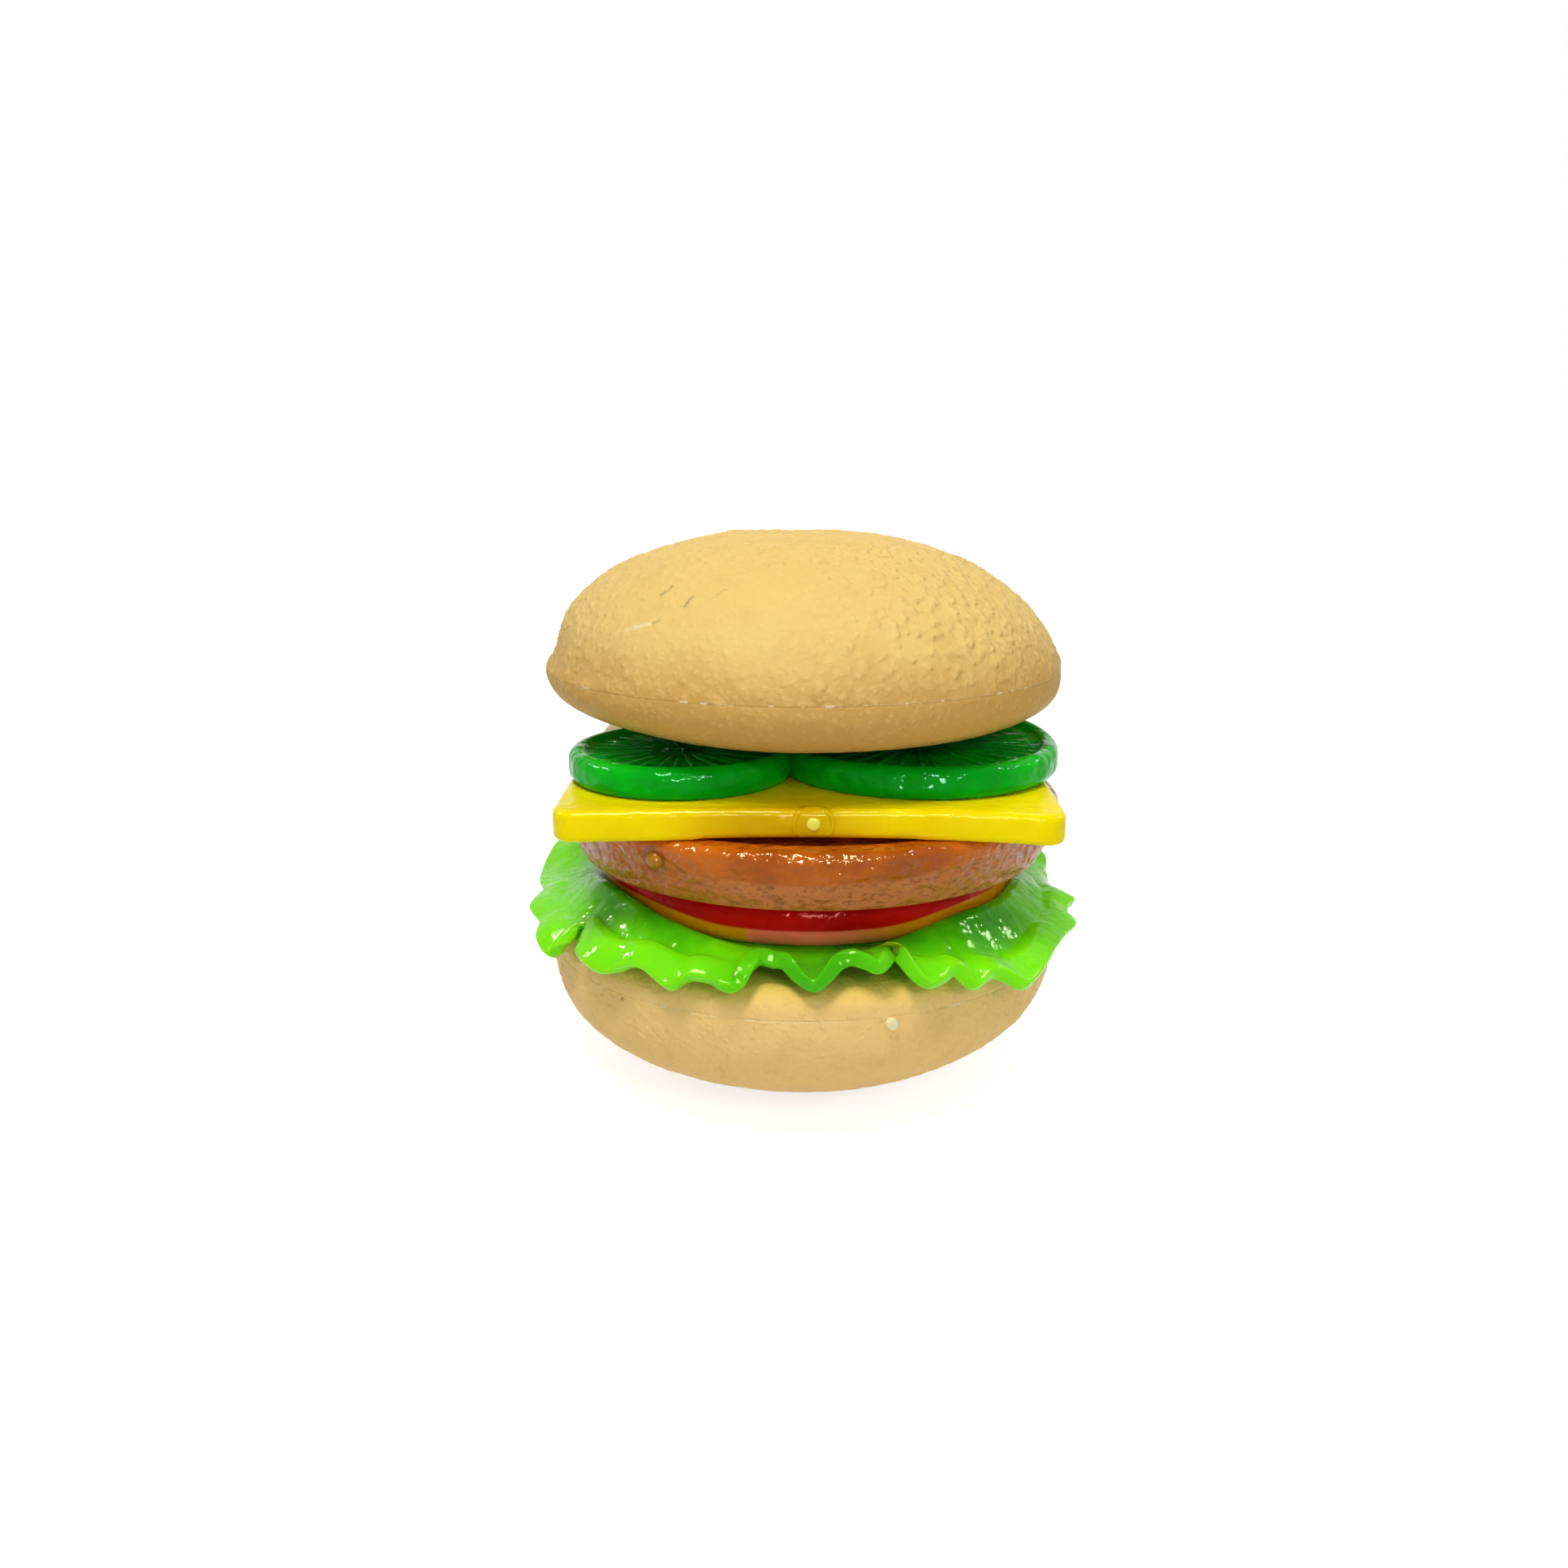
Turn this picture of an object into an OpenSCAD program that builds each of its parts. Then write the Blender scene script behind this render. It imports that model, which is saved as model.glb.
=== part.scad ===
// Play-food hamburger: loose moulded plastic layers that stack and lift apart.
// +Z is up, the origin is the middle of the bottom bun's resting face, and the
// front, where the moulding gates are, is -Y. All sizes are in millimetres.

/* [Buns] */
// Width across the widest part of the bottom bun
bun_w = 76.8; // [72:0.2:84]
// Width across the widest part of the top bun
top_bun_w = 76; // [72:0.2:84]
// Height of the bottom bun's bowl, from the table to its seam
bowl_h = 20.6; // [16:0.2:26]
// Height of the bottom bun's lid above the seam
lid_h = 3.9; // [3.6:0.1:6]
// Radius of the flat the bottom bun stands on
bowl_flat_r = 13.4; // [10:0.2:18]
// Depth of the top bun's underside below its seam
base_h = 9.7; // [8:0.1:12]
// Radius of the flat on the top bun's underside
base_flat_r = 19.5; // [17:0.5:24]
// Height of the top bun's crown above its seam
crown_h = 19.1; // [15:0.1:24]
// Wall of all four bun shells
bun_wall = 2; // [1.8:0.1:2.4]

/* [Lettuce] */
// Height of the leaf's top face above the bottom bun
leaf_rise = 3.6; // [3.2:0.1:4.4]
// Thickness of the leaf
leaf_t = 1.9; // [1.4:0.1:2.2]
// Reach of the frill's lobes from the middle
leaf_r = 41.6; // [40.5:0.1:45]
// Reach of the notches between lobes
notch_r = 37.4; // [37:0.1:38.5]
// Height that the frill waves to each side of its mean
wave_h = 1.9; // [0.8:0.1:2.2]
// Height that the leaf cups up round the tomato, except at the front
cup_h = 2; // [0.5:0.1:2.4]

/* [Tomato] */
// Width of the tomato slice
tomato_w = 62; // [56:1:62]
// Thickness of the tomato slice
tomato_t = 6.8; // [5.6:0.1:9]
// How far the slice lies to the right and to the front of the bun's middle
tomato_at = [0.8, -1.6]; // [-2:0.1:2]
// Seed chambers round the slice
chambers = 6; // [5:1:7]

/* [Patty] */
// Width of the patty
patty_w = 74; // [70:1:76]
// Thickness of the patty
patty_t = 8.5; // [7:0.1:11]
// Height of the lower of the two bands round its side
band_h = 4.3; // [2:0.1:6]
// How far the patty lies to the right and to the front of the bun's middle
patty_at = [1.3, -1.8]; // [-2:0.1:2]

/* [Cheese] */
// Side of the square cheese slice
cheese_w = 67; // [60:1:70]
// Thickness of the cheese slice
cheese_t = 4.2; // [3.4:0.1:5]
// How far the slice lies to the right and to the front of the bun's middle
cheese_at = [0.5, 0]; // [-2:0.1:2]

/* [Cucumber] */
// Radius of the left round
left_r = 16; // [15:0.1:18]
// Radius of the right round
right_r = 20.6; // [20:0.1:22]
// Distance of the left round's middle, to the left and to the front
left_at = [-17.2, -13.9]; // [-18:0.1:18]
// Distance of the right round's middle, to the right and to the front
right_at = [16.6, -8.9]; // [-18:0.1:18]
// Thickness of the cucumber piece
cucumber_t = 4.5; // [3.8:0.1:6]
// Ribs that radiate across each round
ribs = 24; // [16:2:32]

/* [Fits] */
// Clearance beside each shell's locating lip
lip_clear = 0.1; // [0.05:0.01:0.15]
// Clearance round each peg in its socket
peg_clear = 0.1; // [0.05:0.01:0.2]

/* [Hidden] */

// heights of the faces where one layer lies on the next
leaf_z = bowl_h + lid_h;
tomato_z = leaf_z + leaf_rise;
patty_z = tomato_z + tomato_t;
cheese_z = patty_z + patty_t;
cucumber_z = cheese_z + cheese_t;
top_bun_z = cucumber_z + cucumber_t;
top_seam_z = top_bun_z + base_h;

bun_r = bun_w / 2;
top_bun_r = top_bun_w / 2;

// how the seam is made: a butt face outside, a lip inside and a bevelled edge
lip_h = 1.2;
lip_gap = 0.2;
seam_bevel = 0.25;
shoulder_r = 3;
under_power = 2.9;
crown_power = 1.62;
crown_root = 2.69;
curve_steps = 14;

// pegs of the upper shells and the sockets of the lower ones
peg_n = 3;
peg_at = 17;
peg_r = 2;
peg_in = 4;
socket_wall = 1.5;
bowl_socket_top = -4;
base_socket_top = 2;

// gate vestiges left by the moulding, all on the front
gate_r = 0.9;
gate_out = 0.7;
bowl_gate_a = -73;
crown_gate_a = -88;
patty_gate_a = -122;
patty_gate_r = 1.5;
cheese_gate_x = 0.5;

$fn = 96;
eps = 0.01;

BUN = [0.86, 0.69, 0.42];
LEAF = [0.42, 0.82, 0.04];
TOMATO = [0.68, 0.05, 0.02];
PATTY = [0.62, 0.33, 0.13];
CHEESE = [0.95, 0.83, 0.02];
CUCUMBER = [0.02, 0.52, 0.14];

// ---- bun profiles, measured from the seam -------------------------------

// below a seam the wall turns in more and more until it meets the flat
function under_curve(r, flat_r, depth) =
    [for (i = [0:curve_steps]) let (t = i / curve_steps)
        [flat_r + (r - flat_r) * (1 - pow(t, under_power)), -depth * t]];

// above a seam the crown closes in to a rounded top; the steps get finer there
function crown_curve(r, rise) =
    [for (i = [0:curve_steps]) let (t = 1 - pow(1 - i / curve_steps, 2.5))
        [r * pow(1 - pow(t, crown_power), 1 / crown_root), rise * t]];

function shoulder_curve(r, rise) =
    [for (a = [0:15:90])
        [r - shoulder_r + shoulder_r * cos(a), rise - shoulder_r + shoulder_r * sin(a)]];

function reversed(list) = [for (i = [len(list) - 1:-1:0]) list[i]];
function tail(list) = [for (i = [1:len(list) - 1]) list[i]];
function above(list, z) = [for (p = list) if (p[1] > z) p];

// lower shell of a bun: its wall, its flat and the lip that stands inside the seam
module lower_shell(r, flat_r, depth) {
    outer = under_curve(r, flat_r, depth);
    inner = under_curve(r - bun_wall, flat_r - bun_wall / 2, depth - bun_wall);
    lip_r = r - bun_wall / 2 - lip_clear;
    rotate_extrude()
        polygon(concat([[r - seam_bevel, 0], [r, -seam_bevel]], tail(outer),
                       [[0, -depth], [0, bun_wall - depth]], reversed(inner),
                       [[r - bun_wall, lip_h], [lip_r, lip_h], [lip_r, 0]]));
}

// upper shell of a bun, drawn from its outer and inner curves, with the rebate
// that drops over the lip
module upper_shell(r, outer, inner) {
    rebate_z = lip_h + lip_gap;
    rebate_r = r - bun_wall / 2;
    inside = above(inner, rebate_z);
    rotate_extrude()
        polygon(concat([[rebate_r, 0], [r - seam_bevel, 0], [r, seam_bevel]],
                       above(outer, seam_bevel),
                       [[0, outer[len(outer) - 1][1]], [0, inner[len(inner) - 1][1]]],
                       reversed(inside), [[inside[0][0], rebate_z], [rebate_r, rebate_z]]));
}

// everything inside a curve, used to end the pegs and sockets within the wall
module inside_of(curve) {
    end_z = curve[len(curve) - 1][1];
    rotate_extrude()
        polygon(concat([[0, 0]], curve, [[0, end_z]]));
}

module each_peg() {
    for (i = [0:peg_n - 1])
        rotate(30 + i * 360 / peg_n)
            translate([peg_at, 0, 0])
                children();
}

module sockets(top_z, curve) {
    low_z = curve[len(curve) - 1][1];
    intersection() {
        each_peg()
            translate([0, 0, low_z])
                difference() {
                    cylinder(r = peg_r + peg_clear + socket_wall, h = top_z - low_z, $fn = 48);
                    translate([0, 0, top_z - low_z - peg_in - 1])
                        cylinder(r = peg_r + peg_clear, h = peg_in + 2, $fn = 48);
                }
        union() {
            inside_of(curve);
            if (top_z > 0)
                cylinder(r = curve[0][0], h = top_z);
        }
    }
}

module pegs(low_z, curve) {
    high_z = curve[len(curve) - 1][1];
    intersection() {
        each_peg()
            translate([0, 0, low_z])
                cylinder(r = peg_r, h = high_z - low_z, $fn = 48);
        union() {
            inside_of(curve);
            if (low_z < 0)
                translate([0, 0, low_z])
                    cylinder(r = curve[0][0], h = -low_z);
        }
    }
}

// a round gate stub that stands out of a wall at an angle round the stack
module gate(wall_r, a, z, r, out) {
    rotate(a)
        translate([wall_r - 1, 0, z])
            rotate([0, 90, 0])
                cylinder(r = r, h = 1 + out, $fn = 32);
}

module bottom_bun_bowl() {
    mid_wall = under_curve(bun_r - bun_wall / 2, bowl_flat_r, bowl_h - bun_wall / 2);
    color(BUN)
        translate([0, 0, bowl_h]) {
            lower_shell(bun_r, bowl_flat_r, bowl_h);
            sockets(bowl_socket_top, mid_wall);
            gate(bun_r, bowl_gate_a, -gate_r - seam_bevel, gate_r, gate_out);
        }
}

module bottom_bun_lid() {
    inner = [[bun_r - bun_wall, 0], [bun_r - bun_wall, lid_h - bun_wall],
             [0, lid_h - bun_wall]];
    mid_wall = [[bun_r - bun_wall, 0], [bun_r - bun_wall, lid_h - bun_wall / 2]];
    color(BUN)
        translate([0, 0, bowl_h]) {
            upper_shell(bun_r, shoulder_curve(bun_r, lid_h), inner);
            pegs(bowl_socket_top - peg_in, mid_wall);
        }
}

module top_bun_base() {
    mid_wall = under_curve(top_bun_r - bun_wall / 2, base_flat_r, base_h - bun_wall / 2);
    color(BUN)
        translate([0, 0, top_seam_z]) {
            lower_shell(top_bun_r, base_flat_r, base_h);
            sockets(base_socket_top, mid_wall);
        }
}

module top_bun_crown() {
    outer = crown_curve(top_bun_r, crown_h);
    inner = crown_curve(top_bun_r - bun_wall, crown_h - bun_wall);
    mid_wall = crown_curve(top_bun_r - bun_wall / 2, crown_h - bun_wall / 2);
    color(BUN)
        translate([0, 0, top_seam_z]) {
            upper_shell(top_bun_r, outer, inner);
            pegs(base_socket_top - peg_in, mid_wall);
            gate(top_bun_r - 0.5, crown_gate_a, 2, gate_r, gate_out);
        }
}

// ---- lettuce: one ruffled sheet, worked out ring by ring ------------------

// where each lobe of the frill ends, going round, and how many dips it has
lobes = [[22, 2], [47, 2], [70, 2], [96, 2], [121, 2], [146, 2], [170, 2], [192, 2],
         [215, 1], [260, 3], [277, 1], [288, 1], [331, 4], [358, 2], [382, 2]];
spokes = 180;
tomato_tuck = 1;
seat_r = tomato_w / 2 - tomato_tuck;
seat_at = [tomato_at.x, tomato_at.y, 0];
seat_rings = [for (k = [0.17, 0.57, 0.87, 1]) seat_r * k];
frill_rings = 7;
front_a = 270;
front_spread = 26;
edge_drop = 1.6;
vein_every = 15;
vein_from = 1;

// the lobe that holds angle a, as the angles of its two ends and its dips
function lobe_at(a) =
    let (i = [for (k = [1:len(lobes) - 1]) if (a >= lobes[k - 1][0] && a < lobes[k][0]) k][0])
        [lobes[i - 1][0], lobes[i][0], lobes[i][1]];
function wrapped(a) = a < lobes[0][0] ? a + 360 : a;
function share(a) = let (l = lobe_at(a)) (a - l[0]) / (l[1] - l[0]);
function fullness(a) = 1 - pow(abs(2 * share(a) - 1), 5);
function rim_r(a) = notch_r + (leaf_r - notch_r) * fullness(a);
function rim_z(a) = -edge_drop + wave_h * cos(360 * lobe_at(a)[2] * share(a));
function cup(a) = cup_h * (1 - exp(-pow((a - front_a) / front_spread, 2)));

// middle of the sheet, as its distance from the leaf's flat seat
function sheet_z(a, u) = rim_z(a) * pow(u, 2.2) + cup(a) * sin(180 * u) * (1 - u / 2);
function sheet_t(u) = leaf_t * (1 - 0.35 * pow(u, 6));
function spoke_a(i) = wrapped(i * 360 / spokes);
function ring_u(j) = (j + 1) / frill_rings;
function point(a, r, z) = [r * cos(a), r * sin(a), z];

// one ring of points of the seat, which lies under the tomato, or of the frill;
// side is 1 on top and -1 below
function seat_ring(r, z) =
    [for (i = [0:spokes - 1]) seat_at + point(spoke_a(i), r, z(i))];
function frill_ring(u, side) =
    [for (i = [0:spokes - 1]) let (a = spoke_a(i))
        seat_at * (1 - u)
            + point(a, seat_r + (rim_r(a) - seat_r) * u, sheet_z(a, u) + side * sheet_t(u) / 2)];

module lettuce_leaf() {
    mid_z = tomato_z - leaf_t / 2;
    vein = leaf_rise - leaf_t;
    // veins stand out below the seat, down to the bun, and fade out past the seat
    vein_z = function (i) -leaf_t / 2 - (i % vein_every == 0 ? vein : 0);
    top = concat([for (r = reversed(seat_rings)) seat_ring(r, function (i) leaf_t / 2)]);
    top_rings = concat([for (j = [frill_rings - 1:-1:0]) frill_ring(ring_u(j), 1)], top);
    low_rings = concat([for (r = seat_rings) seat_ring(r, vein_z)],
                       [for (j = [0:frill_rings - 1]) frill_ring(ring_u(j), -1)]);
    rings = concat(low_rings, top_rings);
    n = len(rings);
    points = concat([for (ring = rings) each ring],
                    [seat_at + [0, 0, vein_z(0)], seat_at + [0, 0, leaf_t / 2]]);
    low_mid = n * spokes;
    top_mid = low_mid + 1;
    sides = [for (j = [0:n - 2], i = [0:spokes - 1])
        let (k = (i + 1) % spokes, p = j * spokes, q = p + spokes)
            each [[p + i, q + i, q + k], [p + i, q + k, p + k]]];
    caps = [for (i = [0:spokes - 1]) let (k = (i + 1) % spokes, p = (n - 1) * spokes)
        each [[low_mid, i, k], [top_mid, p + k, p + i]]];
    color(LEAF)
        translate([0, 0, mid_z])
            polyhedron(points = points, faces = concat(sides, caps));
}

// ---- tomato, patty and cheese ---------------------------------------------

tomato_round = 2.5;
chamber_depth = 0.8;

// outline of a disc's half section with rounded edges
module half_section(r, t, round_r) {
    intersection() {
        union() {
            square([r - round_r, t]);
            translate([0, round_r])
                square([r, t - 2 * round_r]);
            for (z = [round_r, t - round_r])
                translate([r - round_r, z])
                    circle(r = round_r);
        }
        square([r + 1, t]);
    }
}

// a seed chamber: a wedge with a round outer end and a small round inner end
module chamber() {
    near = 9;
    near_r = 1.6;
    far = 20;
    far_r = 5.4 * 6 / chambers;
    translate([near, 0])
        circle(r = near_r);
    translate([far, 0])
        circle(r = far_r);
    polygon([[near, -near_r], [far, -far_r], [far, far_r], [near, near_r]]);
}

module tomato_slice() {
    color(TOMATO)
        translate([tomato_at.x, tomato_at.y, tomato_z])
            difference() {
                rotate_extrude()
                    half_section(tomato_w / 2, tomato_t, tomato_round);
                for (i = [0:chambers - 1], z = [-1, tomato_t - chamber_depth])
                    rotate(90 + i * 360 / chambers)
                        translate([0, 0, z])
                            linear_extrude(chamber_depth + 1)
                                chamber();
            }
}

patty_rim = 4.2;
patty_recess = 0.9;
patty_taper = 2;
patty_round = 1.2;
band_step = 0.5;

module meat_patty() {
    r = patty_w / 2;
    low_r = r - patty_taper;
    band_r = r - patty_taper / 2;
    color(PATTY)
        translate([patty_at.x, patty_at.y, patty_z]) {
            difference() {
                rotate_extrude()
                    polygon(concat(
                        [[0, 0]],
                        [for (a = [-90:18:-18])
                            [low_r - patty_round * (1 - cos(a)), patty_round * (1 + sin(a))]],
                        [[band_r - band_step / 5, band_h * 0.6], [band_r, band_h - 0.4],
                         [band_r, band_h], [band_r + band_step, band_h + 0.8]],
                        [for (a = [0:18:90])
                            [r - patty_round * (1 - cos(a)),
                             patty_t - patty_round * (1 - sin(a))]],
                        [[0, patty_t]]));
                translate([0, 0, patty_t - patty_recess])
                    cylinder(r = r - patty_rim, h = patty_recess + 1);
            }
            gate(band_r, patty_gate_a, patty_t * 0.65, patty_gate_r, gate_out);
        }
}

cheese_round = 1.5;
cheese_corner = 3.2;

module cheese_slice() {
    side = cheese_w / 2 - cheese_corner;
    color(CHEESE)
        translate([cheese_at.x, cheese_at.y, cheese_z]) {
            hull()
                for (x = [-side, side], y = [-side, side])
                    translate([x, y, 0])
                        rotate_extrude($fn = 32)
                            half_section(cheese_corner, cheese_t, cheese_round, $fn = 24);
            translate([cheese_gate_x, 0, 0])
                gate(cheese_w / 2, -90, cheese_t * 0.55, gate_r, gate_out / 2);
        }
}

// ---- cucumber: two overlapping rounds moulded as one piece -----------------

cucumber_round = 1.3;
cucumber_rim = 2.4;
cucumber_recess = 0.8;
rib_w = 0.7;
rib_h = 0.4;
core_r = 3;

module round_slice(r) {
    rotate_extrude()
        half_section(r, cucumber_t, cucumber_round);
}

// the recess inside a round's rim, with its ribs left standing in it
module round_recess(r) {
    inner_r = r - cucumber_rim;
    floor_z = cucumber_t - cucumber_recess;
    difference() {
        translate([0, 0, floor_z])
            cylinder(r = inner_r, h = cucumber_recess + 1);
        for (i = [0:ribs - 1])
            rotate(i * 360 / ribs)
                translate([core_r, -rib_w / 2, floor_z - 1])
                    cube([inner_r - core_r + 1, rib_w, rib_h + 1]);
    }
}

module cucumber_slices() {
    color(CUCUMBER)
        translate([0, 0, cucumber_z])
            difference() {
                union() {
                    translate(left_at)
                        round_slice(left_r);
                    translate(right_at)
                        round_slice(right_r);
                }
                translate(right_at)
                    round_recess(right_r);
                difference() {
                    translate(left_at)
                        round_recess(left_r);
                    translate(right_at)
                        translate([0, 0, -1])
                            cylinder(r = right_r, h = cucumber_t + 3);
                }
            }
}

bottom_bun_bowl();
bottom_bun_lid();
lettuce_leaf();
tomato_slice();
meat_patty();
cheese_slice();
cucumber_slices();
top_bun_base();
top_bun_crown();
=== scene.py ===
"""Looks of a play-food hamburger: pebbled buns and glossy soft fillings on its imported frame."""

import math

import bpy
import numpy as np
from mathutils import Matrix, Vector


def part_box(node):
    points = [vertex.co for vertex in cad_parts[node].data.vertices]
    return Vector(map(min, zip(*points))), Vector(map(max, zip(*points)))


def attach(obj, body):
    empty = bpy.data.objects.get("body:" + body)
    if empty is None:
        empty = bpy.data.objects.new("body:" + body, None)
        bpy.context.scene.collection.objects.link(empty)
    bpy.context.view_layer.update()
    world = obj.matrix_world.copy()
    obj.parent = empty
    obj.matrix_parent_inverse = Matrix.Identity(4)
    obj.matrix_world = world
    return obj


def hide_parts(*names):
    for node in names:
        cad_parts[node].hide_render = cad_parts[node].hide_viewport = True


bl_info = {
    "name": "Play-food hamburger",
    "version": (1, 0, 0),
    "blender": (4, 5, 0),
    "location": "View3D > Sidebar > Burger",
    "description": "Builds the layers of a toy hamburger round its packed frame",
    "category": "Add Mesh",
}

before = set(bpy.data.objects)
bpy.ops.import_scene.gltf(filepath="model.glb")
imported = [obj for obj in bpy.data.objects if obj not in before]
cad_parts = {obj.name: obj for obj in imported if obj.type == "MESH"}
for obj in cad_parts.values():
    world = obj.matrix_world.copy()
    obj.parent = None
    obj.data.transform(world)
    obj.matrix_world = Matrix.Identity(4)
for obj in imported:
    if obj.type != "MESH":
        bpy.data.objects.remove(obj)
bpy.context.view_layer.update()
MM = 0.001

# ---- sizes read from the frame, in millimetres ----------------------------


def node_box(name):
    """Lowest and highest corners of a node, in millimetres."""
    low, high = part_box(name)
    return np.array(low) / MM, np.array(high) / MM


LID_LOW, LID_HIGH = node_box("bottom_bun_lid")
TOMATO_LOW, TOMATO_HIGH = node_box("tomato_slice")
PATTY_LOW, PATTY_HIGH = node_box("meat_patty")
CHEESE_LOW, CHEESE_HIGH = node_box("cheese_slice")
CUCUMBER_LOW, CUCUMBER_HIGH = node_box("cucumber_slices")
BASE_LOW, BASE_HIGH = node_box("top_bun_base")
CROWN_LOW, CROWN_HIGH = node_box("top_bun_crown")

BUN_R = LID_HIGH[0]
TOP_BUN_R = BASE_HIGH[0]
LID_TOP = LID_HIGH[2]
LID_H = 3.9  # the lid's wall above the seam; its pegs reach below it
BOWL_H = LID_TOP - LID_H
TOP_BUN_Z = BASE_LOW[2]
CROWN_TOP = CROWN_HIGH[2]
BASE_H = 9.7  # the base's wall below the seam; its lip reaches above it
TOP_SEAM_Z = TOP_BUN_Z + BASE_H
CROWN_H = CROWN_TOP - TOP_SEAM_Z


def half_and_middle(low, high):
    """Half a piece's width, and its middle seen from above; only the front has gate stubs."""
    half = (high[0] - low[0]) / 2
    return half, high[:2] - half


PATTY_R, PATTY_AT = half_and_middle(PATTY_LOW, PATTY_HIGH)
CHEESE_HALF, CHEESE_AT = half_and_middle(CHEESE_LOW, CHEESE_HIGH)
TOMATO_R, TOMATO_AT = half_and_middle(TOMATO_LOW, TOMATO_HIGH)

# ---- small numeric helpers -------------------------------------------------


def smooth(t):
    """Smoothstep of t, held between 0 and 1."""
    t = np.clip(t, 0, 1)
    return t * t * (3 - 2 * t)


def bump(x, middle, half_width):
    """A smooth hump of height 1 round middle."""
    return np.exp(-(((x - middle) / half_width) ** 2))


def turn_gap(a, b):
    """Signed angle from b to a, in degrees, between -180 and 180."""
    return (a - b + 180) % 360 - 180


def xyz(rings):
    return rings[..., 0], rings[..., 1], rings[..., 2]


def polar(rings):
    """Angle in degrees and reach of each point, seen from above."""
    x, y = rings[..., 0], rings[..., 1]
    return np.degrees(np.arctan2(y, x)), np.hypot(x, y)


def quarter(middle, radius, degrees):
    """Points (r, z) on a rounded edge, where 0 degrees points outwards and 90 up."""
    return [
        (middle[0] + radius * math.cos(t), middle[1] + radius * math.sin(t))
        for t in np.radians(degrees)
    ]


def closed_spline(angles, values, at):
    """Smooth periodic curve through values at angles, read at other angles."""
    angles = np.asarray(angles, float)
    values = np.asarray(values, float)
    a = np.concatenate([angles[-2:] - 360, angles, angles[:3] + 360])
    v = np.concatenate([values[-2:], values, values[:3]])
    at = (np.asarray(at) - angles[0]) % 360 + angles[0]
    i = np.clip(np.searchsorted(a, at, side="right") - 1, 1, len(a) - 3)
    span = a[i + 1] - a[i]
    t = (at - a[i]) / span
    slope0 = (v[i + 1] - v[i - 1]) / (a[i + 1] - a[i - 1]) * span
    slope1 = (v[i + 2] - v[i]) / (a[i + 2] - a[i]) * span
    return (
        (2 * t**3 - 3 * t**2 + 1) * v[i]
        + (t**3 - 2 * t**2 + t) * slope0
        + (-2 * t**3 + 3 * t**2) * v[i + 1]
        + (t**3 - t**2) * slope1
    )


def resample(points, step):
    """Points at most step apart along an open line of 2D points."""
    points = np.asarray(points, float)
    lengths = np.hypot(*np.diff(points, axis=0).T)
    along = np.concatenate([[0], np.cumsum(lengths)])
    count = max(2, int(math.ceil(along[-1] / step)) + 1)
    at = np.linspace(0, along[-1], count)
    return np.stack([np.interp(at, along, points[:, k]) for k in (0, 1)], axis=1)


# ---- meshes ----------------------------------------------------------------


def new_object(name, verts, faces):
    """A smooth-shaded object from points in millimetres, with its faces outwards."""
    mesh = bpy.data.meshes.new(name)
    mesh.from_pydata((np.asarray(verts) * MM).tolist(), [], faces)
    mesh.update()
    mesh.calc_loop_triangles()
    tris = np.zeros(len(mesh.loop_triangles) * 3, np.int32)
    mesh.loop_triangles.foreach_get("vertices", tris)
    corners = np.asarray(verts)[tris.reshape(-1, 3)]
    volume = np.einsum("ij,ij->", corners[:, 0], np.cross(corners[:, 1], corners[:, 2]))
    if volume < 0:
        mesh.flip_normals()
    mesh.polygons.foreach_set("use_smooth", [True] * len(mesh.polygons))
    obj = bpy.data.objects.new(name, mesh)
    bpy.context.scene.collection.objects.link(obj)
    return obj


def ring_faces(rings, spokes):
    """Quads between rings of spokes points each, and fans to the two poles after them."""
    faces = []
    turns = [(i, (i + 1) % spokes) for i in range(spokes)]
    for low in range(0, (rings - 1) * spokes, spokes):
        high = low + spokes
        faces += [(low + i, low + k, high + k, high + i) for i, k in turns]
    low_pole, high_pole = rings * spokes, rings * spokes + 1
    last = (rings - 1) * spokes
    for i, k in turns:
        faces += [(low_pole, k, i), (high_pole, last + i, last + k)]
    return faces


def from_rings(name, rings, low_pole, high_pole, weights=None):
    """A closed surface from rings of points, closed by a pole at each end."""
    rings = np.asarray(rings, float)
    count, spokes, _ = rings.shape
    verts = np.concatenate([rings.reshape(-1, 3), [low_pole, high_pole]])
    obj = new_object(name, verts, ring_faces(count, spokes))
    for key, value in (weights or {}).items():
        add_weight(obj, key, np.append(np.ravel(value), [0, 0]))
    return obj


def revolved(name, section, spokes, weights=None, bent=None):
    """A closed body turned from a section whose first and last points lie on the axis.

    Each weight is a function of the rings, and bent moves the rings' points."""
    section = np.asarray(section, float)
    turn = np.linspace(0, 2 * math.pi, spokes, endpoint=False)
    inner = section[1:-1]
    rings = np.stack(
        [
            inner[:, :1] * np.cos(turn),
            inner[:, :1] * np.sin(turn),
            np.repeat(inner[:, 1:], spokes, axis=1),
        ],
        axis=2,
    )
    spread = {key: weight(rings) for key, weight in (weights or {}).items()}
    if bent:
        rings = bent(rings)
    return from_rings(name, rings, (0, 0, section[0, 1]), (0, 0, section[-1, 1]), spread)


def moved(obj, at):
    """Moves a mesh sideways by at, in millimetres."""
    obj.data.transform(Matrix.Translation((at[0] * MM, at[1] * MM, 0)))
    return obj


def points_of(obj):
    """The points of a mesh, in millimetres, one row each."""
    points = np.zeros(len(obj.data.vertices) * 3)
    obj.data.vertices.foreach_get("co", points)
    return points.reshape(-1, 3) / MM


def set_points(obj, points):
    obj.data.vertices.foreach_set("co", (points * MM).ravel())
    obj.data.update()


def add_weight(obj, key, values):
    """Stores a number at each point of a mesh, for node trees and materials to read."""
    layer = obj.data.attributes.new(key, "FLOAT", "POINT")
    layer.data.foreach_set("value", np.asarray(values, np.float32))


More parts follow.
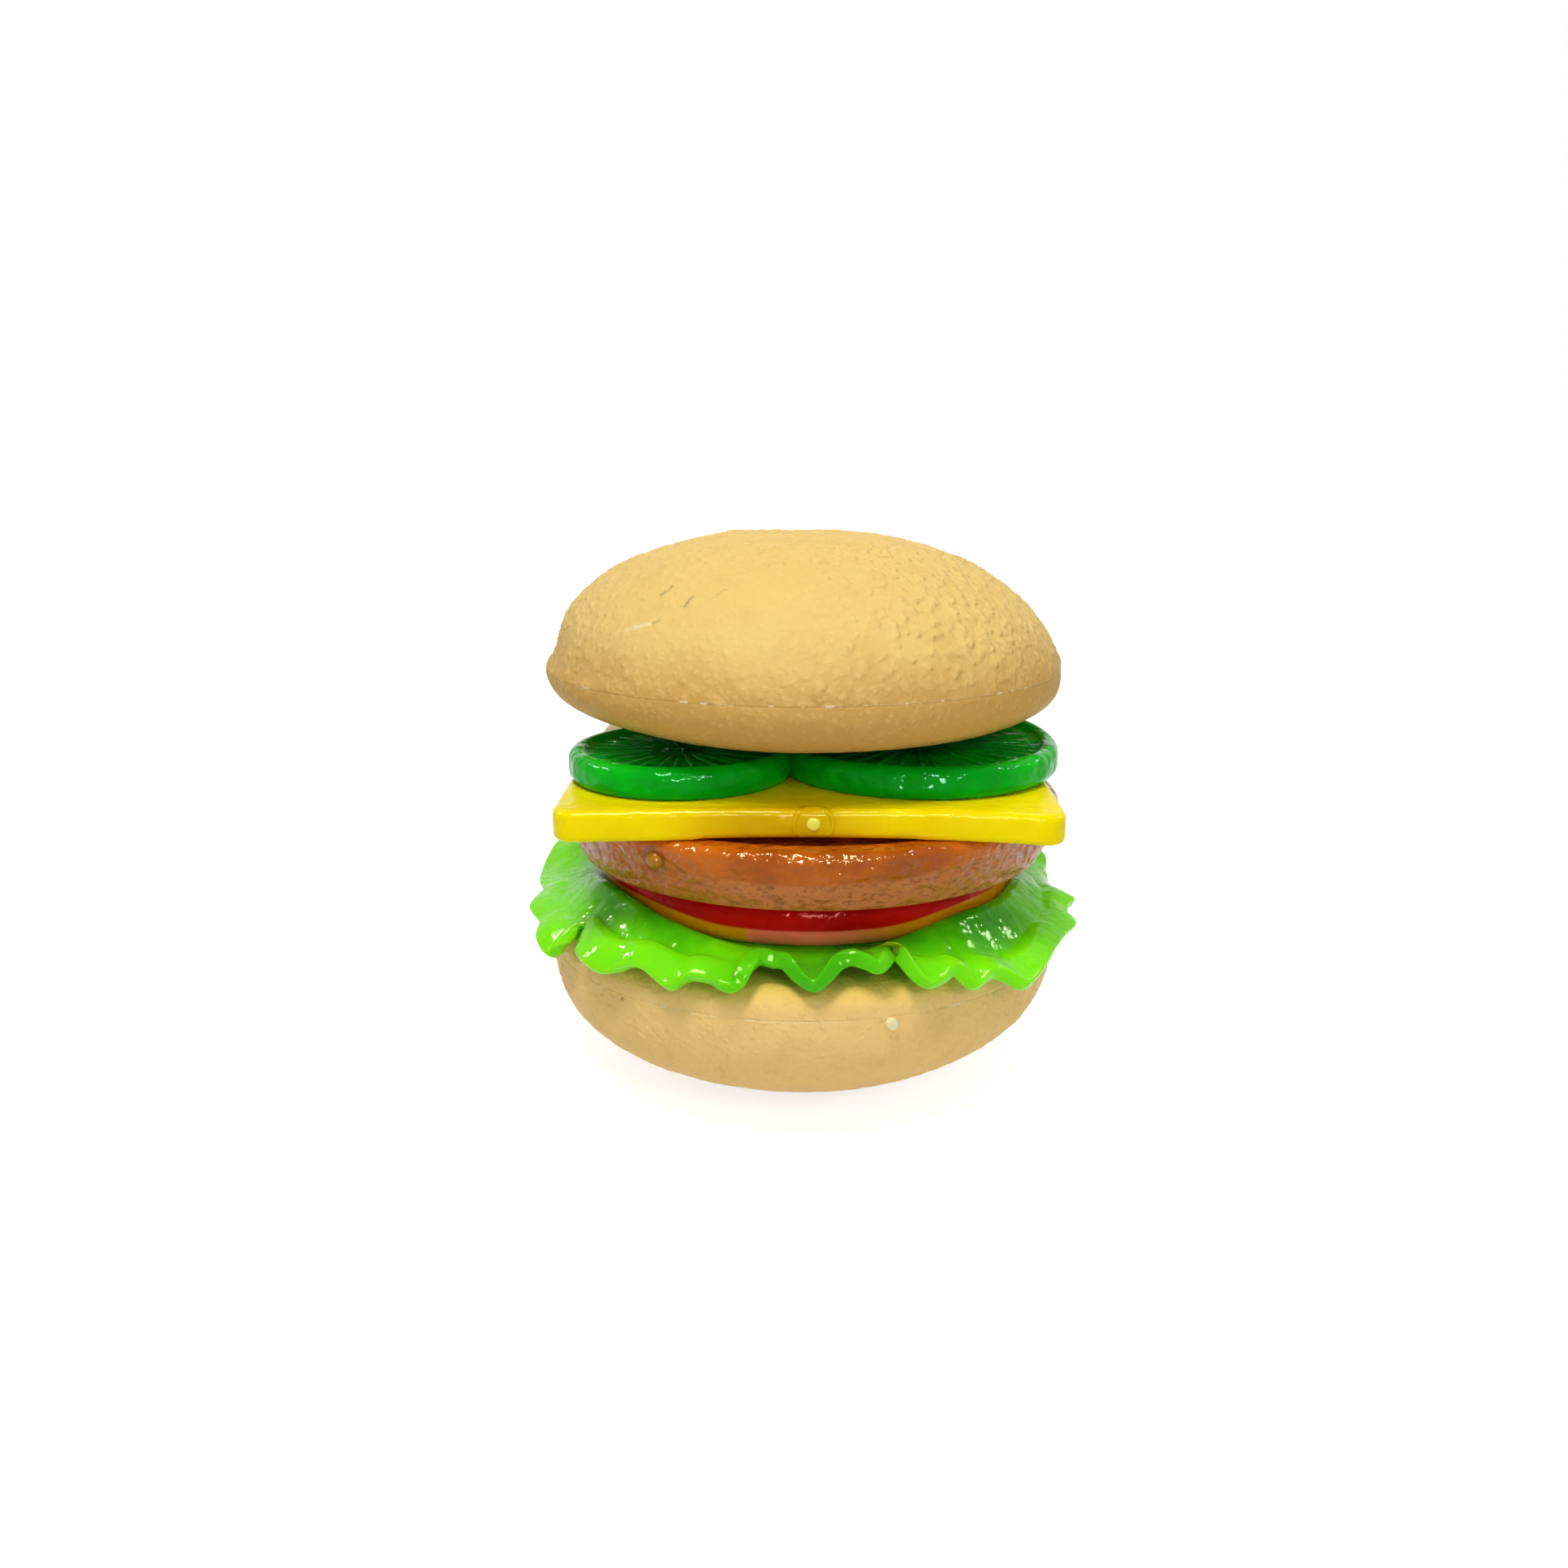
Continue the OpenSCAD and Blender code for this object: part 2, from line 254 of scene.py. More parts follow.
def joined(main, *others):
    """Adds the other objects' meshes to main's and removes them."""
    bpy.ops.object.select_all(action="DESELECT")
    for obj in (main, *others):
        obj.select_set(True)
    bpy.context.view_layer.objects.active = main
    bpy.ops.object.join()
    return main


def bar(name, start, end, radius, rounded=0.25, sides=20):
    """A round bar between two points, with its far end's edge rounded."""
    start, end = Vector(start), Vector(end)
    along = (end - start).normalized()
    across = along.orthogonal().normalized()
    third = along.cross(across)
    length = (end - start).length
    edge = radius * rounded
    stations = [(0, radius), (length - edge, radius)]
    stations += [
        (length - edge + edge * math.sin(t), radius - edge + edge * math.cos(t))
        for t in np.radians([22, 45, 67, 90])
    ]
    stations.append((length, (radius - edge) * 0.4))
    turns = np.linspace(0, 2 * math.pi, sides, endpoint=False)
    spokes = [across * math.cos(t) + third * math.sin(t) for t in turns]
    rings = [[start + along * s + spoke * r for spoke in spokes] for s, r in stations]
    return from_rings(name, rings, start, end)


# ---- node trees ------------------------------------------------------------


class Tree:
    """Adds nodes to a tree, with values or links given for their inputs."""

    def __init__(self, tree):
        self.tree = tree

    def add(self, kind, inputs=None, **settings):
        node = self.tree.nodes.new(kind)
        for key, value in settings.items():
            setattr(node, key, value)
        for key, value in (inputs or {}).items():
            socket = node.inputs[key]
            if isinstance(value, bpy.types.NodeSocket):
                self.tree.links.new(value, socket)
            else:
                socket.default_value = value
        return node

    def link(self, output, node, key):
        self.tree.links.new(output, node.inputs[key])

    def math(self, operation, *values, clamp=False):
        values = dict(enumerate(values))
        return self.add("ShaderNodeMath", values, operation=operation, use_clamp=clamp).outputs[0]

    def times(self, first, *others):
        for other in others:
            first = self.math("MULTIPLY", first, other)
        return first

    def plus(self, first, *others):
        for other in others:
            first = self.math("ADD", first, other)
        return first

    def vector(self, operation, *values):
        node = self.add("ShaderNodeVectorMath", dict(enumerate(values)), operation=operation)
        return node.outputs["Value" if operation in ("DISTANCE", "DOT_PRODUCT") else 0]

    def scaled(self, vector, scale):
        inputs = {0: vector, "Scale": scale}
        return self.add("ShaderNodeVectorMath", inputs, operation="SCALE").outputs[0]

    def parts(self, vector):
        """The x, y and z of a vector."""
        return self.add("ShaderNodeSeparateXYZ", {0: vector}).outputs

    def attribute(self, name):
        return self.add("ShaderNodeAttribute", attribute_name=name).outputs["Fac"]

    def noise(self, vector, scale, detail=2.0, roughness=0.5, distortion=0.0):
        inputs = {"Vector": vector, "Scale": scale, "Detail": detail}
        inputs |= {"Roughness": roughness, "Distortion": distortion}
        return self.add("ShaderNodeTexNoise", inputs).outputs[0]

    def drift(self, vector, scale):
        """A vector that wanders round zero, up to half a unit each way."""
        node = self.add("ShaderNodeTexNoise", {"Vector": vector, "Scale": scale})
        return self.vector("SUBTRACT", node.outputs[1], (0.5, 0.5, 0.5))

    def cells(self, vector, scale, feature="F1"):
        """Distance to the nearest of a scatter of points."""
        inputs = {"Vector": vector, "Scale": scale, "Randomness": 1.0}
        return self.add("ShaderNodeTexVoronoi", inputs, feature=feature).outputs["Distance"]

    def between(self, value, low, high, to_low=0.0, to_high=1.0):
        """A smooth step of value from low to high, between two results."""
        inputs = {0: value, 1: low, 2: high, 3: to_low, 4: to_high}
        return self.add("ShaderNodeMapRange", inputs, interpolation_type="SMOOTHSTEP").outputs[0]

    def mix(self, factor, first, second):
        """A colour between two others."""
        node = self.add("ShaderNodeMix", {"Factor": factor}, data_type="RGBA")
        for key, value in ((6, first), (7, second)):
            if isinstance(value, bpy.types.NodeSocket):
                self.tree.links.new(value, node.inputs[key])
            else:
                node.inputs[key].default_value = rgba(value)
        return node.outputs[2]


def rgba(color):
    """A colour with full opacity."""
    return (*color[:3], 1.0)


def geometry_tree(name, sockets):
    """An empty geometry tree with its inputs, and its group input node."""
    group = bpy.data.node_groups.new(name, "GeometryNodeTree")
    add = group.interface.new_socket
    add(name="Geometry", in_out="INPUT", socket_type="NodeSocketGeometry")
    for key, kind, default in sockets:
        socket = add(name=key, in_out="INPUT", socket_type="NodeSocket" + kind)
        if default is not None:
            socket.default_value = default
    add(name="Geometry", in_out="OUTPUT", socket_type="NodeSocketGeometry")
    tree = Tree(group)
    return tree, tree.add("NodeGroupInput")


def end_tree(tree, geometry, material):
    """Ends a geometry tree in Realize Instances and Set Material."""
    solid = tree.add("GeometryNodeRealizeInstances", {"Geometry": geometry})
    inputs = {"Geometry": solid.outputs[0], "Material": material}
    painted = tree.add("GeometryNodeSetMaterial", inputs)
    tree.add("NodeGroupOutput", {"Geometry": painted.outputs[0]})
    return tree.tree


def baked(obj, group, values):
    """Runs a geometry tree on obj with named inputs and keeps the plain mesh."""
    modifier = obj.modifiers.new(group.name, "NODES")
    modifier.node_group = group
    sockets = [item for item in group.interface.items_tree if item.in_out == "INPUT"]
    keys = {item.name: item.identifier for item in sockets}
    for name, value in values.items():
        modifier[keys[name]] = value
    graph = bpy.context.evaluated_depsgraph_get()
    mesh = bpy.data.meshes.new_from_object(obj.evaluated_get(graph))
    mesh.name = obj.name
    obj.modifiers.remove(modifier)
    obj.data = mesh
    return obj


PATCH_SCALE = 90.0  # patches of stronger and weaker pebbles, per metre


def grain_group():
    """The tree that grain_tree makes, made once."""
    return bpy.data.node_groups.get("moulded_grain") or grain_tree()


def grain_tree():
    """Pushes a skin in and out: pebbles, broad dents and fine grain, by weight."""
    sizes = ("Pebble size", "Pebble height", "Dent size", "Dent height", "Fine size", "Fine height")
    defaults = (0.002, 0.0002, 0.012, 0.0002, 0.0006, 0.00002)
    sockets = [(name, "Float", default) for name, default in zip(sizes, defaults)]
    sockets += [("Flatten", "Float", 1.0), ("Material", "Material", None)]
    tree, given = geometry_tree("moulded_grain", sockets)
    squash = tree.add("ShaderNodeCombineXYZ", {0: 1.0, 1: 1.0, 2: given.outputs["Flatten"]})
    at = tree.add("GeometryNodeInputPosition").outputs[0]
    place = tree.vector("MULTIPLY", at, squash.outputs[0])
    normal = tree.add("GeometryNodeInputNormal").outputs[0]

    def weight(name):
        named = tree.add("GeometryNodeInputNamedAttribute", {"Name": name}, data_type="FLOAT")
        return named.outputs[0]

    def waves(kind, *settings):
        """Noise of a kind's size, round zero, times its height."""
        scale = tree.math("DIVIDE", 1.0, given.outputs[kind + " size"])
        noise = tree.math("SUBTRACT", tree.noise(place, scale, *settings), 0.5)
        return tree.times(noise, given.outputs[kind + " height"])

    pebble = pebbles(tree, place, given.outputs["Pebble size"])
    patch = tree.between(tree.noise(place, PATCH_SCALE, 2.0), 0.38, 0.62, 0.35, 1.0)
    pebble = tree.times(pebble, patch, weight("pebbly"), given.outputs["Pebble height"])
    relief = tree.plus(pebble, waves("Dent", 2.0), waves("Fine", 3.0, 0.6))
    push = tree.times(relief, weight("skin"))
    inputs = {"Geometry": given.outputs[0], "Offset": tree.scaled(normal, push)}
    pushed = tree.add("GeometryNodeSetPosition", inputs)
    return end_tree(tree, pushed.outputs[0], given.outputs["Material"])


def rib_tree():
    """Adds ribs that radiate across a round to what it is given."""
    tree, given = geometry_tree(
        "radial_ribs",
        [
            ("Ribs", "Int", 30),
            ("Middle", "Vector", None),
            ("Inner radius", "Float", 0.004),
            ("Outer radius", "Float", 0.015),
            ("Rib width", "Float", 0.0006),
            ("Rib height", "Float", 0.0004),
            ("Unevenness", "Float", 0.0),
            ("Seed", "Int", 1),
            ("Material", "Material", None),
        ],
    )

    def node(kind, key=0, **settings):
        """A node's output, with the other settings as its inputs by name."""
        inputs = {name.replace("_", " "): value for name, value in settings.items()}
        return tree.add(kind, inputs).outputs[key]

    given = given.outputs
    start = node("ShaderNodeCombineXYZ", X=given["Inner radius"])
    end = node("ShaderNodeCombineXYZ", X=given["Outer radius"])
    line = node("GeometryNodeCurvePrimitiveLine", Start=start, End=end)
    line = node("GeometryNodeResampleCurve", Curve=line, Count=14)
    along = node("GeometryNodeSplineParameter", "Factor")
    swell = tree.between(along, 0.0, 0.25, 0.25, 1.0)
    swell = tree.times(swell, tree.between(along, 1.0, 0.8, 0.35, 1.0))
    width = tree.times(swell, given["Rib width"])
    line = node("GeometryNodeSetCurveRadius", Curve=line, Radius=width)
    profile = node("GeometryNodeCurvePrimitiveCircle", Resolution=10, Radius=1.0)
    radius = node("GeometryNodeInputRadius")
    rib = tree.add(
        "GeometryNodeCurveToMesh",
        {"Curve": line, "Profile Curve": profile, "Scale": radius, "Fill Caps": True},
    ).outputs[0]
    flat = tree.math("DIVIDE", given["Rib height"], given["Rib width"])
    squash = node("ShaderNodeCombineXYZ", X=1.0, Y=1.0, Z=flat)
    rib = node("GeometryNodeTransform", Geometry=rib, Scale=squash)
    points = node("GeometryNodePoints", Count=given["Ribs"])
    index = node("GeometryNodeInputIndex")
    jitter = tree.add(
        "FunctionNodeRandomValue", {2: -0.5, 3: 0.5, "Seed": given["Seed"]}, data_type="FLOAT"
    )
    wobble = tree.times(jitter.outputs[1], given["Unevenness"])
    step = tree.math("DIVIDE", 2 * math.pi, given["Ribs"])
    turn = node("ShaderNodeCombineXYZ", Z=tree.times(tree.plus(index, wobble), step))
    ribs = node("GeometryNodeInstanceOnPoints", Points=points, Instance=rib, Rotation=turn)
    ribs = node("GeometryNodeTransform", Geometry=ribs, Translation=given["Middle"])
    both = tree.add("GeometryNodeJoinGeometry")
    tree.link(ribs, both, 0)
    tree.link(given[0], both, 0)
    return end_tree(tree, both.outputs[0], given["Material"])


# ---- materials -------------------------------------------------------------

SCRATCH_WANDER = 0.6 * MM  # how far a scratch strays from its straight line
SCRATCH_FRONT = (-8 * MM, -12 * MM)  # scratches fade in between these depths
SEAM_LINE = (0.2 * MM, 0.07 * MM)  # half width of a parting line, outside and inside
SEAM_FADE = 4.0  # a parting line fades in and out this far round its ends, in mm
LOW_SHADE_FADE = (13.0, 3.0)  # painted shade: the crust darkens towards the seam between these heights above it, in mm
LOW_SHADE_WANDER = 8 * MM  # how far the edge of the painted shade wanders
LEAF_LIGHT_FADE = 3.5  # painted light through the leaf fades in over this height, in mm
RING_HALF = (0.45 * MM, 0.05 * MM)  # half width of a raised ring, at its foot and on top


def finish(name, color, roughness, shine=0.2, **sockets):
    """A material with one Principled shader, its tree and object coordinates."""
    material = bpy.data.materials.new(name)
    material.use_nodes = True
    material.diffuse_color = rgba(color)
    shader = material.node_tree.nodes["Principled BSDF"]
    sockets |= {"Base_Color": rgba(color), "Roughness": roughness, "Specular_IOR_Level": shine}
    for key, value in sockets.items():
        shader.inputs[key.replace("_", " ")].default_value = value
    tree = Tree(material.node_tree)
    return material, tree, shader, tree.add("ShaderNodeTexCoord").outputs["Object"]


def color_of(shader):
    """What is linked to a shader's colour."""
    return shader.inputs["Base Color"].links[0].from_socket


def tint_over(tree, shader, amount, color):
    """Lays a colour over a shader's own by amount."""
    tree.link(tree.mix(amount, color_of(shader), color), shader, "Base Color")


def set_bump(tree, shader, height, distance, strength=1.0):
    inputs = {"Height": height, "Distance": distance, "Strength": strength}
    tree.link(tree.add("ShaderNodeBump", inputs).outputs[0], shader, "Normal")


def set_roughness(tree, shader, place, scale, low, high):
    """Lets the roughness wander between two values over the surface."""
    rough = tree.between(tree.noise(place, scale, 3.0), 0.3, 0.7, low, high)
    tree.link(rough, shader, "Roughness")


def scratch(tree, place, start, end, width):
    """1 on a worn scratch on the front, between two points (x, z), all in millimetres."""
    start, end = (Vector((x, 0, z)) * MM for x, z in (start, end))
    span = end - start
    seen = tree.vector("MULTIPLY", place, (1.0, 0.0, 1.0))
    seen = tree.vector("ADD", seen, tree.scaled(tree.drift(place, 700.0), SCRATCH_WANDER))
    offset = tree.vector("SUBTRACT", seen, tuple(start))
    along = tree.vector("DOT_PRODUCT", offset, tuple(span))
    share = tree.math("DIVIDE", along, span.length_squared, clamp=True)
    gap = tree.vector("DISTANCE", offset, tree.scaled(tuple(span), share))
    front = tree.between(tree.parts(place)[1], *SCRATCH_FRONT)
    worn = tree.between(tree.noise(place, 1300.0, 2.0), 0.35, 0.6, 0.35, 1.0)
    return tree.times(tree.between(gap, width * MM * 1.4, width * MM * 0.2), worn, front)


def pebbles(tree, place, size):
    """The pebbles of the crust, 1 on top of each and 0 between them."""
    per_size = tree.math("DIVIDE", 1.0, size)
    wander = tree.scaled(tree.drift(place, per_size), tree.times(size, 0.9))
    cell = tree.cells(tree.vector("ADD", place, wander), per_size, "SMOOTH_F1")
    return tree.between(cell, 0.55, 0.12)


def seam_mark(tree, place, z, reach, strength):
    """A pale parting line at height z, strong from reach[0] to reach[1] across the front."""
    x, _, height = tree.parts(place)
    off = tree.math("ABSOLUTE", tree.math("SUBTRACT", height, z * MM))
    left, right = reach
    side = tree.times(
        tree.between(x, (left - SEAM_FADE) * MM, (left + SEAM_FADE) * MM),
        tree.between(x, (right + SEAM_FADE) * MM, (right - SEAM_FADE) * MM),
    )
    specks = tree.between(tree.noise(place, 500.0, 2.0), 0.56, 0.62)
    amount = tree.math("MAXIMUM", tree.times(side, strength), specks)
    return tree.times(tree.between(off, *SEAM_LINE), amount)


def bun_material(name, look, marks=(), seam=None, main=None, low_z=None, warm_z=None):
    """Satin moulded plastic in bread colours, with a painted highlight on the pebble tops, marks
    and a parting line.

    It is painted darker as shade from a little above low_z down, and painted yellower as light
    through the leaf from warm_z up; both heights in millimetres."""
    main = main or look.color
    material, tree, shader, place = finish(name, main, look.roughness, look.shine)
    top = tree.times(pebbles(tree, place, look.pebble_size), tree.attribute("pebbly"))
    small = tree.between(tree.cells(place, 950.0), 0.5, 0.12)
    blotch = tree.between(tree.noise(place, 190.0, 4.0, 0.6), 0.48, 0.7, 0.0, 0.18)
    color = tree.mix(blotch, main, look.toasted_and_shade)
    # Painted shade: the crust is laid darker from a little above low_z down, with a wandering edge.
    if low_z is not None:
        wander = tree.times(tree.noise(place, 130.0, 4.0), LOW_SHADE_WANDER)
        height = tree.plus(tree.parts(place)[2], wander)
        low = tree.between(height, *((low_z + fade) * MM for fade in LOW_SHADE_FADE), 0.0, 0.95)
        color = tree.mix(low, color, look.toasted_and_shade)
    # Painted light: the lid is laid yellower under the leaf, for the light that comes through the
    # leaf.
    if warm_z is not None:
        height = tree.parts(place)[2]
        leaf_light = tree.between(height, warm_z * MM, (warm_z + LEAF_LIGHT_FADE) * MM, 0.0, 0.8)
        color = tree.mix(leaf_light, color, look.leaf_light)
    # Partly the crust's own paler pebbles, partly a painted highlight: pebble tops and small raised
    # cells are laid paler.
    color = tree.mix(tree.times(top, 0.4), color, look.pale)
    color = tree.mix(tree.times(small, 0.15), color, look.pale)
    if seam:
        color = tree.mix(seam_mark(tree, place, *seam), color, look.gate)
    for start, end, width, tint, strength in marks:
        line = scratch(tree, place, start, end, width)
        color = tree.mix(tree.times(line, strength), color, tint)
    tree.link(color, shader, "Base Color")
    set_roughness(tree, shader, place, 900.0, look.roughness - 0.07, look.roughness + 0.09)
    grit = tree.times(tree.noise(place, 2400.0, 4.0, 0.65), 0.8)
    relief = tree.plus(tree.times(top, 1.6), tree.times(small, 0.5), grit)
    set_bump(tree, shader, relief, look.relief, 0.85)
    return material


def soft_material(
    name, look, blotch_scale, bump_scale, bump_mm, edge=None, spread=0.0022, swell=3.0, ring=None
):
    """Glossy soft plastic with light going through it and slow changes of tint.

    The weight called edge shows the bright colour, and a ring is a low raised circle on
    the surface: its middle, then its radius, in millimetres."""
    material, tree, shader, place = finish(
        name,
        look.color,
        look.roughness,
        look.shine,
        Subsurface_Weight=look.translucency,
        Subsurface_Scale=spread,
        Subsurface_Radius=look.light_reach,
        Specular_Tint=rgba(look.gloss),
    )
    cloud = tree.noise(place, blotch_scale, 3.0)
    color = tree.mix(tree.between(cloud, 0.36, 0.66), look.color, look.deep)
    if edge:
        color = tree.mix(tree.attribute(edge), color, look.bright)
    tree.link(color, shader, "Base Color")
    set_roughness(tree, shader, place, 700.0, look.roughness * 0.75, look.roughness * 1.4)
    swell = tree.times(tree.noise(place, 160.0, 2.0), swell)
    relief = tree.plus(swell, tree.noise(place, bump_scale, 2.0, 0.45))
    if ring:
        gap = tree.vector("DISTANCE", place, tuple(k * MM for k in ring[:3]))
        off = tree.math("ABSOLUTE", tree.math("SUBTRACT", gap, ring[3] * MM))
        relief = tree.plus(relief, tree.between(off, *RING_HALF))
    set_bump(tree, shader, relief, bump_mm * MM)
    return material, tree, shader, place


# ---- settings --------------------------------------------------------------


def length(name, description, default_mm):
    """A length setting, whose default is given in millimetres."""
    return bpy.props.FloatProperty(
        name=name, description=description, default=default_mm * MM, unit="LENGTH", precision=5
    )


def tint(name, description, default):
    """A colour setting."""
    return bpy.props.FloatVectorProperty(
        name=name, description=description, default=default, subtype="COLOR", size=3, min=0, max=1
    )


def share(name, description, default):
    """A setting between 0 and 1."""
    return bpy.props.FloatProperty(
        name=name, description=description, default=default, subtype="FACTOR", min=0, max=1
    )


def shine(default):
    return share("Shine", "How strongly the surface reflects", default)


def gloss(default):
    return tint("Gloss", "Tint of the surface's reflections", default)


def translucency(default):
    return share("Translucency", "How much light goes through", default)


def light_reach(default):
    return tint("Light reach", "How far each colour spreads inside", default)


def power(name, description, default):
    """A setting for the strength of a light."""
    return bpy.props.FloatProperty(name=name, description=description, default=default)


class BunLook(bpy.types.PropertyGroup):
    """Finish of the four bun shells."""

    color: tint("Crust", "Main colour of the plastic", (0.83, 0.575, 0.175))
    # A paler copy of the crust for the bottom bun: partly its own plastic, partly painted light
    # bounced up from the floor.
    low_color: tint("Bottom crust", "Main colour of the bottom bun", (0.96, 0.65, 0.235))
    # Paler crust on pebble tops and small raised cells: partly the plastic's own tone, partly a
    # painted highlight on the tops.
    pale: tint("Pale crust", "Paler areas and pebble tops", (0.93, 0.655, 0.225))
    # Darker crust: random blotches, and painted shade on the crown's lower part and all over the
    # top bun's base.
    toasted_and_shade: tint("Toasted crust", "Darker blotches", (0.63, 0.365, 0.085))
    # Painted light: the yellow light that comes through the leaf onto the lid.
    leaf_light: tint("Warm crust", "Yellower plastic under the leaf", (0.98, 0.62, 0.10))
    gate: tint("Gate stub", "Pale broken plastic of the gates", (0.93, 0.80, 0.45))
    roughness: share("Roughness", "How matte the buns are", 0.46)
    shine: shine(0.04)
    pebble_size: length("Pebble size", "Distance between pebbles of the crust", 1.35)
    pebble_height: length("Pebble height", "How far the pebbles stand out", 0.27)
    dent_size: length("Dent size", "Width of the broad dents", 11)
    dent_height: length("Dent height", "Depth of the broad dents", 0.5)
    relief: length("Fine relief", "Height of the finest relief of the crust", 0.19)
    mesh_step: length("Mesh step", "Largest step of the shells' skin", 0.36)


class LettuceLook(bpy.types.PropertyGroup):
    """Shape and finish of the ruffled leaf."""

    color: tint("Leaf", "Main colour of the leaf", (0.19, 0.84, 0.002))
    # The deep colour also lays painted shade on the front middle of the leaf.
    deep: tint("Deep leaf", "Thicker, darker areas", (0.05, 0.42, 0.003))
    # The frill's bright colour is painted light: the thin rim lit by the lamps and glowing with
    # light that comes through it.
    bright: tint("Frill", "Bright colour of the thin frill", (0.23, 0.92, 0.006))
    roughness: share("Roughness", "How matte the leaf is", 0.1)
    shine: shine(0.14)
    gloss: gloss((0.65, 1.0, 0.3))
    translucency: translucency(0.85)
    light_reach: light_reach((0.75, 1.0, 0.08))
    thickness: length("Thickness", "Thickness of the sheet", 1.9)
    seat_radius: length("Seat radius", "Where the leaf's flat seat ends", 29.2)
    crest_radius: length("Crest radius", "Where the cup round the tomato is highest", 32.6)
    cup: length("Cup height", "How far the cup rises beside the tomato", 1.8)
    ridge: length("Ridge height", "How far the fold behind the frill stands above the rim", 2.3)
    rim_lift: length("Rim lift", "How much thicker the rim is on the crests", 0.5)
    vein: length("Vein height", "Relief of the veins on the top face", 0.08)


class TomatoLook(bpy.types.PropertyGroup):
    """Finish of the tomato slice."""

    color: tint("Flesh", "Main colour", (0.60, 0.004, 0.001))
    deep: tint("Deep flesh", "Darker areas", (0.44, 0.002, 0.001))
    bright: tint("Seeds", "Seeds and chamber jelly", (0.72, 0.16, 0.03))
    # The band's colour is a painted reflection of the green leaf on the slice's lower edge.
    band: tint("Lower band", "Browner plastic round the lower edge", (0.74, 0.28, 0.001))
    # A painted highlight on the front of the lower band.
    band_highlight: tint("Band front", "Pinker front of the lower band", (1.0, 0.20, 0.11))
    roughness: share("Roughness", "How matte the slice is", 0.13)
    shine: shine(0.08)
    gloss: gloss((1.0, 0.3, 0.25))
    translucency: translucency(0.35)
    light_reach: light_reach((1.0, 0.12, 0.05))


class PattyLook(bpy.types.PropertyGroup):
    """Finish of the meat patty."""

    color: tint("Meat", "Main colour", (0.60, 0.135, 0.002))
    deep: tint("Deep meat", "Darker areas", (0.40, 0.08, 0.002))
    bright: tint("Pale grain", "Paler, pinkish grain of the lower band", (0.54, 0.175, 0.04))
    brown: tint("Brown end", "Clearer brown plastic of the left end", (0.46, 0.12, 0.005))
    pit: tint("Pits", "Darker colour in the grain of the lower band", (0.34, 0.10, 0.02))
    ring: tint("Gate ring", "Clear dark plastic round the gate", (0.27, 0.075, 0.002))
    gate: tint("Gate stub", "Clear amber plastic of the gate", (0.42, 0.17, 0.003))
    roughness: share("Roughness", "How matte the upper band is", 0.1)
    shine: shine(0.3)
    gloss: gloss((1.0, 0.72, 0.4))
    translucency: translucency(0.3)
    light_reach: light_reach((1.0, 0.4, 0.08))
    pebble_size: length("Pit size", "Distance between the pits", 1.7)
    pebble_height: length("Pit height", "How far the pits go in, as a negative height", -0.28)


class CheeseLook(bpy.types.PropertyGroup):
    """Finish of the cheese slice."""

    color: tint("Cheese", "Main colour", (0.99, 0.78, 0.0))
    deep: tint("Deep cheese", "Warmer areas", (0.97, 0.72, 0.0))
    # Painted shade on the middle of the front edge.
    middle: tint("Front middle", "Duller middle of the front edge", (0.62, 0.37, 0.0))
    bright: tint("Gate mark", "Pale plastic of the gate", (0.93, 0.86, 0.10))
    roughness: share("Roughness", "How matte the slice is", 0.16)
    shine: shine(0.08)
    gloss: gloss((1.0, 0.9, 0.4))
    translucency: translucency(0.25)
    light_reach: light_reach((1.0, 0.7, 0.05))


class CucumberLook(bpy.types.PropertyGroup):
    """Finish of the cucumber piece."""

    color: tint("Skin", "Main colour", (0.0, 0.52, 0.006))
    deep: tint("Deep skin", "Darker areas", (0.0, 0.34, 0.008))
    roughness: share("Roughness", "How matte the piece is", 0.1)
    shine: shine(0.10)
    gloss: gloss((0.45, 1.0, 0.65))
    translucency: translucency(0.4)
    light_reach: light_reach((0.1, 1.0, 0.2))
    ribs: bpy.props.IntProperty(
        name="Ribs", description="Ribs across each round", default=34, min=12, max=60
    )


class StageLook(bpy.types.PropertyGroup):
    """Camera and light."""

    camera_at: bpy.props.FloatVectorProperty(
        name="Camera", description="Where the camera stands", subtype="XYZ", unit="LENGTH",
        default=(-0.0028, -0.1939, 0.0912),
    )
    camera_tilt: bpy.props.FloatProperty(
        name="Tilt", description="How far the camera looks down", subtype="ANGLE",
        default=math.radians(14.03),
    )
    lens: bpy.props.FloatProperty(name="Lens", description="Focal length in mm", default=29.84)
    sky: power("Sky", "Light from all round", 0.40)
    key: power("Key", "Power of the main lamp", 0.88)
    fill: power("Fill", "Power of the front lamp", 0.18)
    back: power("Back", "Power of the rear lamp", 0.22)
    glint: power("Glint", "Power of the lamps that only show in gloss", 3.6)


class BurgerSettings(bpy.types.PropertyGroup):
    """All the settings of the toy."""

    bun: bpy.props.PointerProperty(type=BunLook)
    lettuce: bpy.props.PointerProperty(type=LettuceLook)
    tomato: bpy.props.PointerProperty(type=TomatoLook)
    patty: bpy.props.PointerProperty(type=PattyLook)
    cheese: bpy.props.PointerProperty(type=CheeseLook)
    cucumber: bpy.props.PointerProperty(type=CucumberLook)
    stage: bpy.props.PointerProperty(type=StageLook)


def look_of(context, name):
    """The settings of one kind of piece."""
    return getattr(context.scene.toy_burger, name)


def placed(obj, body, node):
    """Hides the frame part that a finished piece stands for, and hangs the piece on the body it
    rides on.
    """
    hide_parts(node)
    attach(obj, body)
    return obj


def set_material(obj, material):
    obj.data.materials.clear()
    obj.data.materials.append(material)
    return obj


# ---- buns ------------------------------------------------------------------

